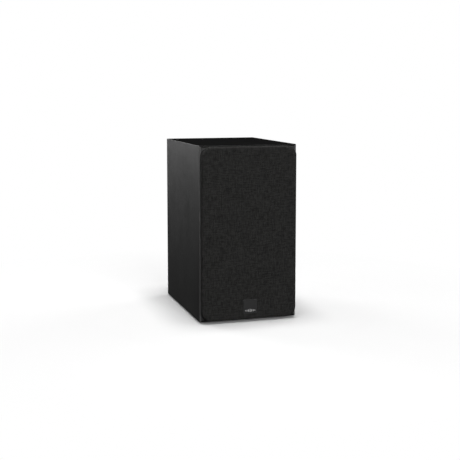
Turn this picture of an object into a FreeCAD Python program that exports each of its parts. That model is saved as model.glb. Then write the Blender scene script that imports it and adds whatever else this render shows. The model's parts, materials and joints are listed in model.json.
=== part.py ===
import FreeCAD, Part
import math
import os
from FreeCAD import Vector

# Two-way bookshelf loudspeaker with a bass-reflex cabinet and a pull-off cloth grille.
# Millimetres. +Z is up, the front faces -Y, and +X is on the right seen from the front.
# The origin is the centre of the footprint, at the underside of the feet.

# Cabinet: four mitred walls around an inset front baffle and an inset rear panel
CABINET_WIDTH = 168.0
CABINET_DEPTH = 226.5
CABINET_HEIGHT = 292.0
WALL = 12.0
LIP = 3.0  # thin edge of the walls that frames the baffle and the rear panel
EDGE_RADIUS = 0.8
PANEL_GAP = 0.2
BAFFLE_THICKNESS = 15.0
REAR_THICKNESS = 12.0
REAR_SETBACK = 3.0
BAFFLE_CHAMFER = 0.4
MITRE_OVERSHOOT = 5.0
MITRE_REACH = 20.0
OVERCUT = 1.0  # how far a cutting tool runs past the face it cuts

# Feet
FOOT_RADIUS = 6.0
FOOT_HEIGHT = 2.0
FOOT_EDGE = 0.6
FOOT_INSET = 15.0

# Grille
GRILLE_PROUD = 10.0
GRILLE_MARGIN = 2.2
GRILLE_CORNER = 16.0
GRILLE_EDGE = 2.6
GRILLE_CLEARANCE = 0.4
GRILLE_RIM = 10.5
CLOTH = 0.6
HEM_WIDTH = 9.5
CROSSBAR_HEIGHT = 8.0
CROSSBAR_THICKNESS = 4.5
WINDOW_CORNER = 9.0
PEG_RADIUS = 2.3
PEG_REACH = 8.5
PEG_GRIP = 4.0
PEG_BOSS = 5.5
PEG_TIP = 1.2
PEG_X = 68.0
PEG_INSET_Z = 20.0
SOCKET_BORE = 2.6
SOCKET_RADIUS = 4.2
SOCKET_FLANGE = 5.2
SOCKET_FLANGE_THICKNESS = 1.0
SOCKET_DEPTH = 11.0
SOCKET_BORE_DEPTH = 9.5

# Badge
BADGE_SIDE = 24.0
BADGE_THICKNESS = 1.2
BADGE_CORNER = 1.6
BADGE_EDGE = 0.35
BADGE_RISE = 9.5
BADGE_PAD = 2.5
BADGE_PAD_MARGIN = 1.0
BADGE_PIN = 1.0
BADGE_PIN_X = 7.0
INLAY_PROUD = 0.3
INLAY_SUNK = 0.4
INLAY_BAR = 1.3
INLAY_PITCH = 2.7
INLAY_HEIGHTS = (1.6, 2.8, 4.0, 5.0, 4.0, 2.8, 1.6)
INLAY_DROP = 6.5

# Places worked out from the sizes above
FRONT_BUILD = GRILLE_PROUD + BADGE_THICKNESS + INLAY_PROUD
OVERALL_DEPTH = CABINET_DEPTH + FRONT_BUILD
FRONT_Y = -OVERALL_DEPTH / 2 + FRONT_BUILD  # front face of the baffle
REAR_Y = OVERALL_DEPTH / 2
BACK_Y = REAR_Y - REAR_SETBACK  # outer face of the rear panel
BASE_Z = FOOT_HEIGHT
TOP_Z = BASE_Z + CABINET_HEIGHT
MIDDLE_Z = (BASE_Z + TOP_Z) / 2
HALF_WIDTH = CABINET_WIDTH / 2
PEG_PLACES = [(x, z) for x in (-PEG_X, PEG_X) for z in (BASE_Z + PEG_INSET_Z, TOP_Z - PEG_INSET_Z)]
GRILLE_WIDTH = CABINET_WIDTH - 2 * GRILLE_MARGIN
GRILLE_HEIGHT = CABINET_HEIGHT - 2 * GRILLE_MARGIN
GRILLE_BOTTOM = BASE_Z + GRILLE_MARGIN
GRILLE_BACK_Y = FRONT_Y - GRILLE_CLEARANCE
GRILLE_FRONT_Y = FRONT_Y - GRILLE_PROUD
FRAME_BACK_Y = GRILLE_BACK_Y - CLOTH
FRAME_FRONT_Y = GRILLE_FRONT_Y + CLOTH
BADGE_Z = GRILLE_BOTTOM + BADGE_RISE + BADGE_SIDE / 2

# Screws for the drivers and, smaller, for the rear fittings
DRIVER_SCREW = {"head": 3.4, "shank": 1.9, "length": 17.0, "socket": 1.5, "socket_depth": 1.4}
REAR_SCREW = {"head": 3.0, "shank": 1.5, "length": 11.0, "socket": 1.1, "socket_depth": 1.0}
SCREW_HOLE_GAP = 0.3
SCREW_HEAD_GAP = 0.1

# Woofer: radii about its axis, depths behind the front of the baffle
WOOFER_Z = BASE_Z + 88.0
WOOFER_FLANGE = 74.0
WOOFER_FLANGE_THICKNESS = 3.0
WOOFER_CUTOUT = 63.5
WOOFER_OPENING = 60.5
WOOFER_LEDGE = 65.5
WOOFER_LEDGE_DEPTH = 1.4
WOOFER_EDGE = 0.3
WOOFER_BEVEL = 1.0
WOOFER_SCREW_CIRCLE = 69.6
WOOFER_SCREW_ANGLES = (45, 135, 225, 315)
BASKET_NECK = 44.5
BASKET_NECK_DEPTH = 34.0
BASKET_BACK_DEPTH = 38.0
BASKET_SKIN = 2.5
BASKET_SEAT = 20.1
BASKET_SPOKES = 6
BASKET_WINDOW = {"angle": 42.0, "inner": 38.0, "outer": 70.0, "depths": (8.0, 28.0)}
SPIDER_LEDGE = 36.0
SPIDER_DEPTH = 31.0
SPIDER_WAVES = 4
SPIDER_WAVE = 1.4
SPIDER_THICKNESS = 0.5
SPIDER_COLLAR = 2.5
ROLL_OUTER = 60.6
ROLL_INNER = 50.6
ROLL_HEIGHT = 4.4
RUBBER = 0.7
CONE_RIM = 46.8
CONE_NECK = 13.0
CONE_NECK_DEPTH = 24.5
CONE_PAPER = 0.8
CONE_BOW = 2.2
CAP_RADIUS = 18.0
CAP_HEIGHT = 6.5
CAP_THICKNESS = 0.6
FORMER_INNER = 12.7
FORMER_OUTER = 12.9
FORMER_START = 23.0
FORMER_END = 47.0
COIL_OUTER = 13.6
COIL_START = 35.0
COIL_END = 46.0
POLE_RADIUS = 12.2
POLE_BEVEL = 1.0
POLE_VENT = 4.0
VENT_FLARE = 3.0
TOP_PLATE_BORE = 14.1
TOP_PLATE_RADIUS = 38.0
TOP_PLATE_END = 43.0
MAGNET_BORE = 17.0
MAGNET_RADIUS = 40.0
MAGNET_END = 58.0
YOKE_RADIUS = 37.0
YOKE_END = 63.0
YOKE_BEVEL = 1.5
LUG_WIDTH = 18.0
LUG_RISE = (42.0, 50.0)
LUG_DEPTHS = (27.0, 38.0)
TERMINAL_BOARD = (20.0, 1.5)
TAG_WIDTH = 4.8
TAG_THICKNESS = 0.8
TAG_SPREAD = 6.0
WOOFER_TAG_DEPTHS = (29.0, 46.0)
WOOFER_TAG_Z = WOOFER_Z + LUG_RISE[1] + TERMINAL_BOARD[1]
TINSEL_CONE_RADIUS = 26.0

# Tweeter
TWEETER_Z = BASE_Z + 217.0
PLATE_RADIUS = 49.0
PLATE_THICKNESS = 4.0
PLATE_BEVEL = 0.8
DISH_RADIUS = 41.0
DISH_DEPTH = 6.0
DISH_BOW = 1.3
THROAT = 17.2
PLATE_BODY = 37.0
PLATE_BODY_DEPTH = 8.0
TWEETER_CUTOUT = 38.0
TWEETER_SCREW_CIRCLE = 44.8
TWEETER_SCREW_ANGLES = (90, 210, 330)
DOME_RADIUS = 12.7
DOME_HEIGHT = 4.4
SILK = 0.3
TWEETER_ROLL = 16.2
TWEETER_ROLL_HEIGHT = 1.4
TWEETER_CLAMP = 20.0
TWEETER_FORMER = {"inner": 12.35, "outer": 12.6, "length": 5.0}
TWEETER_COIL = {"outer": 13.0, "start": 1.2, "end": 4.0}
TWEETER_BORE = 13.4
TWEETER_POLE = 11.9
TWEETER_VENT = 4.0
TWEETER_MAGNET = 29.0
TWEETER_MAGNET_BORE = 16.0
TWEETER_MAGNET_LIP = 1.0
TWEETER_PLATE = 3.0
TWEETER_MAGNET_LENGTH = 10.0
TWEETER_YOKE = 4.0
TWEETER_TAG_Z = TWEETER_Z - 34.0
TWEETER_TAG_END = 20.0
CHAMBER_RADIUS = 24.0
CHAMBER_DEPTH = 16.0
CHAMBER_WALL = 1.5
CHAMBER_BEVEL = 2.0

GASKET = 1.0
RECESS_GAP = 0.4

# Reflex port
PORT_Z = BASE_Z + 203.0
PORT_RADIUS = 20.0
PORT_WALL = 2.5
PORT_FLARE = 11.0
PORT_INNER_FLARE = 4.0
PORT_LIP = 1.0
PORT_HOLE_GAP = 1.0
PORT_TAPER = 6.0
PORT_FLANGE = 38.0
PORT_LENGTH = 110.0

# Terminal cup and binding posts
CUP_Z = BASE_Z + 70.0
CUP_FLANGE = (104.0, 76.0)
CUP_FLANGE_THICKNESS = 2.2
CUP_FLANGE_CORNER = 8.0
CUP_GASKET = 0.8
CUP_MOUTH = (84.0, 56.0)
CUP_FLOOR = (76.0, 48.0)
CUP_CORNER = 6.0
CUP_WALL = 2.0
CUP_DEPTH = 32.0
CUP_EDGE = 0.8
CUP_HOLE_GAP = 1.0
CUP_SCREW_X = 47.0
CUP_SCREW_Z = 33.0
POST_X = 19.0
POST_BASE_RADIUS = 8.0
POST_BASE_HEIGHT = 3.0
POST_BEVEL = 0.6
POST_WASHER = (6.0, 1.0)
COLLAR_RADIUS = 6.4
COLLAR_HEIGHT = 2.2
SHANK_RADIUS = 3.5
SHANK_LENGTH = 21.0
SHANK_BEVEL = 0.4
PLUG_SOCKET = 2.05
SOCKET_LENGTH = 15.0
CROSS_HOLE = 1.6
CROSS_HOLE_RISE = 2.6
TAIL_RADIUS = 2.0
TAIL_GAP = 0.1
TAIL_LENGTH = 9.5
SOLDER_TAG = {"radius": 4.2, "thickness": 0.8, "width": 3.2, "reach": 15.0}
POST_NUT = {"radius": 4.0, "height": 3.2, "gap": 0.05}
WASHER_RADIUS = 6.0
WASHER_THICKNESS = 1.0
KNOB_RADIUS = 7.4
KNOB_LENGTH = 19.8
KNOB_FLUTES = 18
KNOB_FLUTE_RADIUS = 0.9
KNOB_FLUTE_ENDS = (2.2, 3.4)
KNOB_BEVEL = 0.6
KNOB_CROWN = (1.8, 2.4)
KNOB_CLEARANCE = 0.08
KNOB_MOUTH = 3.8
INSERT_RADIUS = 5.2
INSERT_LENGTH = 14.0

CUP_FLOOR_Y = REAR_Y - CUP_DEPTH
CUP_INSIDE_Y = CUP_FLOOR_Y - CUP_WALL
COLLAR_Y = CUP_FLOOR_Y + POST_BASE_HEIGHT
SHANK_Y = COLLAR_Y + COLLAR_HEIGHT
SHANK_END_Y = SHANK_Y + SHANK_LENGTH
KNOB_Y = SHANK_Y + WASHER_THICKNESS
TAG_FACE_Y = CUP_INSIDE_Y - POST_WASHER[1] - SOLDER_TAG["thickness"]

# Wall hanger
HANGER_Z = BASE_Z + 268.0
HANGER_SIZE = (46.0, 24.0)
HANGER_THICKNESS = 1.5
HANGER_CORNER = 3.0
KEYHOLE_RADIUS = 4.8
KEYHOLE_SLOT = 2.4
KEYHOLE_RISE = 9.0
KEYHOLE_DROP = 4.0
HANGER_SCREW_X = 18.0
POCKET = (16.0, 20.0)
POCKET_DEPTH = 8.0
POCKET_CORNER = 3.0

# Crossover
BOARD_WIDTH = 96.0
BOARD_THICKNESS = 1.6
BOARD_Y = (-30.0, 60.0)
SPACER_HEIGHT = 6.0
SPACER_RADIUS = 3.5
SPACER_BORE = 1.6
BOARD_SCREW = {"shank": 1.5, "head": 3.0, "head_height": 1.8}
BOARD_SCREW_INSET = 5.0
FLOOR_Z = BASE_Z + WALL
BOARD_Z = FLOOR_Z + SPACER_HEIGHT
BOARD_TOP_Z = BOARD_Z + BOARD_THICKNESS
INDUCTORS = (
    {"x": -26.0, "y": 0.0, "radius": 17.0, "height": 22.0, "core": 6.5},
    {"x": 27.0, "y": -8.0, "radius": 13.0, "height": 15.0, "core": 5.0},
)
BOBBIN_CHEEK = 1.5
BOBBIN_WALL = 1.2
WINDING_INSET = 1.0
CAPACITORS = (
    {"x": 5.0, "y": 31.0, "radius": 8.0, "length": 34.0},
    {"x": -42.0, "y": 36.0, "radius": 7.0, "length": 32.0},
)
CAPACITOR_EDGE = 0.8
RESISTORS = ((-5.0, -27.0), (-5.0, -2.0))
RESISTOR_SIZE = (9.5, 22.0, 9.0)

# Wadding and wiring
WADDING = 12.0
WADDING_Y = (-84.0, 96.0)
WADDING_Z = (40.0, 262.0)
TOP_WADDING_X = 57.0
WIRE_RADIUS = 1.1
TINSEL_RADIUS = 0.5


def box(x_range, y_range, z_range):
    size = [b - a for a, b in (x_range, y_range, z_range)]
    return Part.makeBox(*size, Vector(x_range[0], y_range[0], z_range[0]))


def past(span):
    """Span of a cutting tool that runs out at both ends."""
    return span[0] - OVERCUT, span[1] + OVERCUT


def rod(radius, y_range, x, z):
    """Round bar along Y."""
    return Part.makeCylinder(radius, y_range[1] - y_range[0], Vector(x, y_range[0], z), Vector(0, 1, 0))


def upright(radius, z_range, x, y):
    """Round bar along Z."""
    return Part.makeCylinder(radius, z_range[1] - z_range[0], Vector(x, y, z_range[0]))


def edges_along(solid, direction):
    """Straight edges of the solid that run along a direction."""
    found = []
    for edge in solid.Edges:
        ends = [v.Point for v in edge.Vertexes]
        if len(ends) == 2 and isinstance(edge.Curve, Part.Line):
            if (ends[1] - ends[0]).normalize().cross(direction).Length < 1e-6:
                found.append(edge)
    return found


def edges_in_plane(solid, y):
    """Edges of the solid that lie in one plane across Y."""
    return [e for e in solid.Edges if abs(e.BoundBox.YMin - y) < 1e-4 and abs(e.BoundBox.YMax - y) < 1e-4]


def plate(size, corner, y_range, x=0.0, z=0.0):
    """Flat plate across Y with rounded corners, centred on x and z."""
    half_width = size[0] / 2
    half_height = size[1] / 2
    blank = box((x - half_width, x + half_width), y_range, (z - half_height, z + half_height))
    return blank.makeFillet(corner, edges_along(blank, Vector(0, 1, 0)))


def outline_face(outline, to_point):
    """Face inside a closed outline. An entry of two points is the middle and the end of an arc."""
    ends = [entry[1] if isinstance(entry[0], tuple) else entry for entry in outline]
    edges = []
    for previous, entry in zip(ends, outline[1:] + outline[:1]):
        start = to_point(previous)
        if isinstance(entry[0], tuple):
            edges.append(Part.Arc(start, to_point(entry[0]), to_point(entry[1])).toShape())
        else:
            edges.append(Part.LineSegment(start, to_point(entry)).toShape())
    return Part.Face(Part.Wire(edges))


def turned(outline, centre_z, centre_x=0.0, datum_y=FRONT_Y):
    """Solid of revolution about a line along Y, from (radius, depth behind the datum) points."""

    def to_point(place):
        return Vector(centre_x + place[0], datum_y + place[1], centre_z)

    face = outline_face(outline, to_point)
    solid = face.revolve(Vector(centre_x, datum_y, centre_z), Vector(0, 1, 0), 360)
    return solid if solid.Volume > 0 else solid.reversed()


def ring(inner, outer, depth_range, centre_z, centre_x=0.0, datum_y=FRONT_Y):
    y_range = (datum_y + depth_range[0], datum_y + depth_range[1])
    return rod(outer, y_range, centre_x, centre_z).cut(rod(inner, y_range, centre_x, centre_z))


def around(angles, radius, centre_z):
    """Places (x, z) on a circle, with 90 degrees at the top."""
    return [
        (radius * math.cos(math.radians(a)), centre_z + radius * math.sin(math.radians(a)))
        for a in angles
    ]


def hexagon(radius, x, z, start_y, length):
    """Hexagonal bar along Y, sized across its corners."""
    places = around(range(0, 361, 60), radius, z)
    corners = [Vector(x + across, start_y, height) for across, height in places]
    return Part.Face(Part.makePolygon(corners)).extrude(Vector(0, length, 0))


def screw(kind, x, z, head_y, into=1):
    """Countersunk socket screw with its head flush at head_y, pointing along +Y, or -Y with into=-1."""
    head_depth = kind["head"] - kind["shank"]
    profile = [
        (0.0, 0.0),
        (kind["head"], 0.0),
        (kind["shank"], head_depth),
        (kind["shank"], kind["length"] - kind["shank"]),
        (0.0, kind["length"]),
    ]
    points = [(r, d * into) for r, d in profile]
    body = turned(points, z, x, head_y)
    return body.cut(hexagon(kind["socket"], x, z, head_y, kind["socket_depth"] * into))


def screw_hole(kind, x, z, head_y, into=1):
    """Countersunk clearance hole for a screw."""
    head_depth = kind["head"] - kind["shank"]
    hole = kind["shank"] + SCREW_HOLE_GAP
    lip = kind["head"] + SCREW_HEAD_GAP
    profile = [
        (0.0, -OVERCUT),
        (lip, -OVERCUT),
        (lip, 0.0),
        (hole, head_depth),
        (hole, kind["length"]),
        (0.0, kind["length"]),
    ]
    return turned([(r, d * into) for r, d in profile], z, x, head_y)


def tube_along(points, radius, name):
    """Round lead along straight runs joined by tangent arcs, each as large as its two runs allow."""
    runs = [b - a for a, b in zip(points, points[1:])]
    edges = []
    radii = []
    start = points[0]
    for corner, before, after in zip(points[1:], runs, runs[1:]):
        turn = before.getAngle(after)
        trim = 0.45 * min(before.Length, after.Length)
        enter = corner - Vector(before).normalize() * trim
        leave = corner + Vector(after).normalize() * trim
        bend = trim / math.tan(turn / 2)
        toward = (Vector(after).normalize() - Vector(before).normalize()).normalize()
        middle = corner + toward * (bend / math.cos(turn / 2) - bend)
        edges.append(Part.LineSegment(start, enter).toShape())
        edges.append(Part.Arc(enter, middle, leave).toShape())
        radii.append(round(bend, 1))
        start = leave
    edges.append(Part.LineSegment(start, points[-1]).toShape())
    path = Part.Wire(edges)
    section = Part.Wire(Part.makeCircle(radius, points[0], runs[0]))
    solid = path.makePipeShell([section], True, True)
    expected = math.pi * radius**2 * path.Length
    print(f"{name}: length {path.Length:.0f}, arcs {radii}, volume ratio {solid.Volume / expected:.4f}")
    return solid


def save(name, *solids):
    shape = solids[0] if len(solids) == 1 else Part.makeCompound(solids)
    shape.exportStep(f"parts/{name}.step")


# Cabinet


def cabinet_sleeve():
    """The four walls as one tube, rebated at both ends."""
    outer = box((-HALF_WIDTH, HALF_WIDTH), (FRONT_Y, REAR_Y), (BASE_Z, TOP_Z))
    outer = outer.makeFillet(EDGE_RADIUS, outer.Edges)

    def opening(wall, y_range):
        return box((wall - HALF_WIDTH, HALF_WIDTH - wall), y_range, (BASE_Z + wall, TOP_Z - wall))

    hollow = opening(WALL, past((FRONT_Y, REAR_Y)))
    front_rebate = opening(LIP, (FRONT_Y - OVERCUT, FRONT_Y + BAFFLE_THICKNESS))
    rear_rebate = opening(LIP, (BACK_Y - REAR_THICKNESS, REAR_Y + OVERCUT))
    return outer.cut(hollow).cut(front_rebate).cut(rear_rebate)


def mitre_corners(reach):
    """Corners of the cabinet's section, moved outward by reach along the 45 degree mitres."""
    half = HALF_WIDTH + reach
    return [
        Vector(-half, FRONT_Y, BASE_Z - reach),
        Vector(half, FRONT_Y, BASE_Z - reach),
        Vector(half, FRONT_Y, TOP_Z + reach),
        Vector(-half, FRONT_Y, TOP_Z + reach),
    ]


def cabinet_walls():
    """Bottom, right, top and left wall, parted along the mitres."""
    sleeve = cabinet_sleeve()
    outside = mitre_corners(MITRE_OVERSHOOT)
    inside = mitre_corners(-MITRE_REACH)
    walls = []
    for side in range(4):
        after = (side + 1) % 4
        wedge = Part.makePolygon([outside[side], outside[after], inside[after], inside[side], outside[side]])
        walls.append(sleeve.common(Part.Face(wedge).extrude(Vector(0, CABINET_DEPTH, 0))))
    return walls


def inset_panel(y_range):
    half = HALF_WIDTH - LIP - PANEL_GAP
    return box((-half, half), y_range, (BASE_Z + LIP + PANEL_GAP, TOP_Z - LIP - PANEL_GAP))


def front_baffle():
    panel = inset_panel((FRONT_Y, FRONT_Y + BAFFLE_THICKNESS))
    panel = panel.makeChamfer(BAFFLE_CHAMFER, edges_in_plane(panel, FRONT_Y))
    before = FRONT_Y - OVERCUT
    through = past((FRONT_Y, FRONT_Y + BAFFLE_THICKNESS))
    recesses = (
        (WOOFER_Z, WOOFER_FLANGE, WOOFER_FLANGE_THICKNESS, WOOFER_CUTOUT),
        (TWEETER_Z, PLATE_RADIUS, PLATE_THICKNESS, TWEETER_CUTOUT),
    )
    for z, flange, thickness, cutout in recesses:
        panel = panel.cut(rod(flange + RECESS_GAP, (before, FRONT_Y + thickness + GASKET), 0, z))
        panel = panel.cut(rod(cutout, through, 0, z))
    for x, z in driver_screw_places():
        panel = panel.cut(rod(DRIVER_SCREW["shank"], through, x, z))
    for x, z in PEG_PLACES:
        panel = panel.cut(rod(SOCKET_RADIUS, (before, FRONT_Y + SOCKET_DEPTH), x, z))
        panel = panel.cut(rod(SOCKET_FLANGE, (before, FRONT_Y + SOCKET_FLANGE_THICKNESS), x, z))
    return panel


def cup_cutout():
    """Width and height of the hole that the terminal cup passes through."""
    return [side + 2 * (CUP_WALL + CUP_HOLE_GAP) for side in CUP_MOUTH]


def rear_panel():
    y_range = (BACK_Y - REAR_THICKNESS, BACK_Y)
    through = past(y_range)
    panel = inset_panel(y_range)
    panel = panel.cut(rod(PORT_RADIUS + PORT_FLARE + PORT_HOLE_GAP, through, 0, PORT_Z))
    panel = panel.cut(plate(cup_cutout(), CUP_CORNER + CUP_WALL, through, 0, CUP_Z))
    pocket_y = (BACK_Y - POCKET_DEPTH, BACK_Y + OVERCUT)
    panel = panel.cut(plate(POCKET, POCKET_CORNER, pocket_y, 0, HANGER_Z))
    for x, z in cup_screw_places() + hanger_screw_places():
        panel = panel.cut(rod(REAR_SCREW["shank"], through, x, z))
    return panel


def rubber_feet():
    feet = []
    for x in (FOOT_INSET - HALF_WIDTH, HALF_WIDTH - FOOT_INSET):
        for y in (FRONT_Y + FOOT_INSET, REAR_Y - FOOT_INSET):
            foot = upright(FOOT_RADIUS, (0, FOOT_HEIGHT), x, y)
            lower = [e for e in foot.Edges if e.BoundBox.ZMax < 0.01]
            feet.append(foot.makeFillet(FOOT_EDGE, lower))
    return feet


# Grille


def grille_blank(inset, y_range):
    """Rounded plate of the grille's outline, set in by a distance, with a soft front edge."""
    size = (GRILLE_WIDTH - 2 * inset, GRILLE_HEIGHT - 2 * inset)
    blank = plate(size, GRILLE_CORNER - inset, y_range, 0, MIDDLE_Z)
    return blank.makeFillet(GRILLE_EDGE + CLOTH - inset, edges_in_plane(blank, y_range[0]))


def grille_windows():
    """The two openings in the frame, below and above the crossbar, as (size, centre z)."""
    crossbar_z = (WOOFER_Z + WOOFER_FLANGE + TWEETER_Z - PLATE_RADIUS) / 2
    bottom = GRILLE_BOTTOM + GRILLE_RIM
    top = TOP_Z - GRILLE_MARGIN - GRILLE_RIM
    spans = ((bottom, crossbar_z - CROSSBAR_HEIGHT / 2), (crossbar_z + CROSSBAR_HEIGHT / 2, top))
    return [((GRILLE_WIDTH - 2 * GRILLE_RIM, b - a), (a + b) / 2) for a, b in spans]


def grille_frame():
    frame = grille_blank(CLOTH, (FRAME_FRONT_Y, FRAME_BACK_Y))
    lower, upper = grille_windows()
    for size, z in (lower, upper):
        frame = frame.cut(plate(size, WINDOW_CORNER, past((FRAME_FRONT_Y, FRAME_BACK_Y)), 0, z))
    (window_width, window_height), window_z = lower
    crossbar_bottom = window_z + window_height / 2
    relief = box(
        (-window_width / 2, window_width / 2),
        (FRAME_FRONT_Y + CROSSBAR_THICKNESS, FRAME_BACK_Y + OVERCUT),
        past((crossbar_bottom, crossbar_bottom + CROSSBAR_HEIGHT)),
    )
    frame = frame.cut(relief)
    for x, z in PEG_PLACES:
        frame = frame.fuse(rod(PEG_BOSS, (FRAME_FRONT_Y, FRAME_BACK_Y), x, z))
    pad_half = BADGE_SIDE / 2 + BADGE_PAD_MARGIN
    pad_y = (FRAME_FRONT_Y, FRAME_FRONT_Y + BADGE_PAD)
    rim_z = GRILLE_BOTTOM + GRILLE_RIM
    pad = box((-pad_half, pad_half), pad_y, (rim_z - OVERCUT, BADGE_Z + pad_half))
    frame = frame.fuse(pad).removeSplitter()
    for x, z in PEG_PLACES:
        frame = frame.cut(rod(PEG_RADIUS, (FRAME_BACK_Y - PEG_GRIP, FRAME_BACK_Y + OVERCUT), x, z))
    for x in (-BADGE_PIN_X, BADGE_PIN_X):
        frame = frame.cut(rod(BADGE_PIN, past(pad_y), x, BADGE_Z))
    return frame


def grille_cloth():
    """The stretched sheet: a front, four sides and a hem folded over the back of the frame."""
    sheet = grille_blank(0, (GRILLE_FRONT_Y, GRILLE_BACK_Y))
    sheet = sheet.cut(grille_blank(CLOTH, (FRAME_FRONT_Y, FRAME_BACK_Y)))
    hem_inside = (GRILLE_WIDTH - 2 * HEM_WIDTH, GRILLE_HEIGHT - 2 * HEM_WIDTH)
    sheet = sheet.cut(plate(hem_inside, WINDOW_CORNER, past((FRAME_BACK_Y, GRILLE_BACK_Y)), 0, MIDDLE_Z))
    for x in (-BADGE_PIN_X, BADGE_PIN_X):
        sheet = sheet.cut(rod(BADGE_PIN, past((GRILLE_FRONT_Y, FRAME_FRONT_Y)), x, BADGE_Z))
    return sheet


def grille_pegs():
    pegs = []
    for x, z in PEG_PLACES:
        tip_y = FRONT_Y + PEG_REACH
        peg = rod(PEG_RADIUS, (FRAME_BACK_Y - PEG_GRIP, tip_y), x, z)
        pegs.append(peg.makeFillet(PEG_TIP, edges_in_plane(peg, tip_y)))
    return pegs


def grille_sockets():
    sockets = []
    for x, z in PEG_PLACES:
        cup = rod(SOCKET_RADIUS, (FRONT_Y, FRONT_Y + SOCKET_DEPTH), x, z)
        cup = cup.fuse(rod(SOCKET_FLANGE, (FRONT_Y, FRONT_Y + SOCKET_FLANGE_THICKNESS), x, z))
        sockets.append(cup.cut(rod(SOCKET_BORE, (FRONT_Y - OVERCUT, FRONT_Y + SOCKET_BORE_DEPTH), x, z)))
    return sockets


def inlay_bars(y_range):
    """A row of upright bars of rising and falling height, as on a level display."""
    bars = []
    for n, height in enumerate(INLAY_HEIGHTS):
        x = (n - (len(INLAY_HEIGHTS) - 1) / 2) * INLAY_PITCH
        z = BADGE_Z - INLAY_DROP
        bars.append(box((x - INLAY_BAR / 2, x + INLAY_BAR / 2), y_range, (z - height / 2, z + height / 2)))
    return bars


def grille_badge():
    front_y = GRILLE_FRONT_Y - BADGE_THICKNESS
    badge = plate((BADGE_SIDE, BADGE_SIDE), BADGE_CORNER, (front_y, GRILLE_FRONT_Y), 0, BADGE_Z)
    badge = badge.makeFillet(BADGE_EDGE, edges_in_plane(badge, front_y))
    for x in (-BADGE_PIN_X, BADGE_PIN_X):
        badge = badge.fuse(rod(BADGE_PIN, (GRILLE_FRONT_Y, FRAME_FRONT_Y + BADGE_PAD), x, BADGE_Z))
    for bar in inlay_bars((front_y - OVERCUT, front_y + INLAY_SUNK)):
        badge = badge.cut(bar)
    return badge


def badge_inlay():
    front_y = GRILLE_FRONT_Y - BADGE_THICKNESS
    return inlay_bars((front_y - INLAY_PROUD, front_y + INLAY_SUNK))


# Woofer


def driver_screw_places():
    woofer = around(WOOFER_SCREW_ANGLES, WOOFER_SCREW_CIRCLE, WOOFER_Z)
    return woofer + around(TWEETER_SCREW_ANGLES, TWEETER_SCREW_CIRCLE, TWEETER_Z)


def driver_screws():
    return [screw(DRIVER_SCREW, x, z, FRONT_Y) for x, z in driver_screw_places()]


def basket_profile():
    """Half section: flange and surround ledge, tapering skirt, motor seat and spider ledge."""
    flange_back = WOOFER_FLANGE_THICKNESS
    return [
        (WOOFER_LEDGE, WOOFER_EDGE),
        (WOOFER_LEDGE + WOOFER_EDGE, 0.0),
        (WOOFER_FLANGE - WOOFER_BEVEL, 0.0),
        (WOOFER_FLANGE, WOOFER_BEVEL),
        (WOOFER_FLANGE, flange_back),
        (WOOFER_OPENING + 2.0, flange_back),
        (WOOFER_OPENING + 1.5, 2 * flange_back),
        (BASKET_NECK, BASKET_NECK_DEPTH),
        (BASKET_NECK, BASKET_BACK_DEPTH),
        (BASKET_SEAT, BASKET_BACK_DEPTH),
        (BASKET_SEAT, BASKET_BACK_DEPTH - BASKET_SKIN),
        (SPIDER_LEDGE, BASKET_BACK_DEPTH - BASKET_SKIN),
        (SPIDER_LEDGE, SPIDER_DEPTH),
        (BASKET_NECK - BASKET_SKIN, SPIDER_DEPTH),
        (WOOFER_OPENING - 1.0, 2 * flange_back - 1.0),
        (WOOFER_OPENING, WOOFER_LEDGE_DEPTH),
        (WOOFER_LEDGE, WOOFER_LEDGE_DEPTH),
    ]


def basket_window(start_angle):
    """Sector between two spokes, its first angle counted from straight up."""
    near, far = BASKET_WINDOW["depths"]
    origin = Vector(0, FRONT_Y + near, WOOFER_Z)
    along = Vector(0, 1, 0)
    window = Part.makeCylinder(BASKET_WINDOW["outer"], far - near, origin, along, BASKET_WINDOW["angle"])
    window.rotate(origin, along, start_angle)
    return window.cut(Part.makeCylinder(BASKET_WINDOW["inner"], far - near, origin, along))


def woofer_basket():
    """Flange, spokes, spider ledge and motor seat, in one casting with a lug for the terminal board."""
    basket = turned(basket_profile(), WOOFER_Z)
    pitch = 360.0 / BASKET_SPOKES
    for n in range(BASKET_SPOKES):
        # Half a pitch off, so that a spoke stands upright behind the terminal board
        basket = basket.cut(basket_window((n + 0.5) * pitch - BASKET_WINDOW["angle"] / 2))
    lug_y = [FRONT_Y + depth for depth in LUG_DEPTHS]
    lug_z = [WOOFER_Z + rise for rise in LUG_RISE]
    basket = basket.fuse(box((-LUG_WIDTH / 2, LUG_WIDTH / 2), lug_y, lug_z)).removeSplitter()
    for x, z in around(WOOFER_SCREW_ANGLES, WOOFER_SCREW_CIRCLE, WOOFER_Z):
        basket = basket.cut(screw_hole(DRIVER_SCREW, x, z, FRONT_Y))
    return basket


def driver_gaskets():
    """Foam rings that seal the woofer's flange and the tweeter's plate to the baffle."""
    woofer_span = (WOOFER_FLANGE_THICKNESS, WOOFER_FLANGE_THICKNESS + GASKET)
    tweeter_span = (PLATE_THICKNESS, PLATE_THICKNESS + GASKET)
    woofer = ring(WOOFER_CUTOUT, WOOFER_FLANGE, woofer_span, WOOFER_Z)
    tweeter = ring(TWEETER_CUTOUT, PLATE_RADIUS, tweeter_span, TWEETER_Z)
    through = (FRONT_Y, FRONT_Y + BAFFLE_THICKNESS)
    for x, z in driver_screw_places():
        hole = rod(DRIVER_SCREW["shank"] + SCREW_HOLE_GAP, through, x, z)
        woofer = woofer.cut(hole)
        tweeter = tweeter.cut(hole)
    return woofer, tweeter


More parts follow.
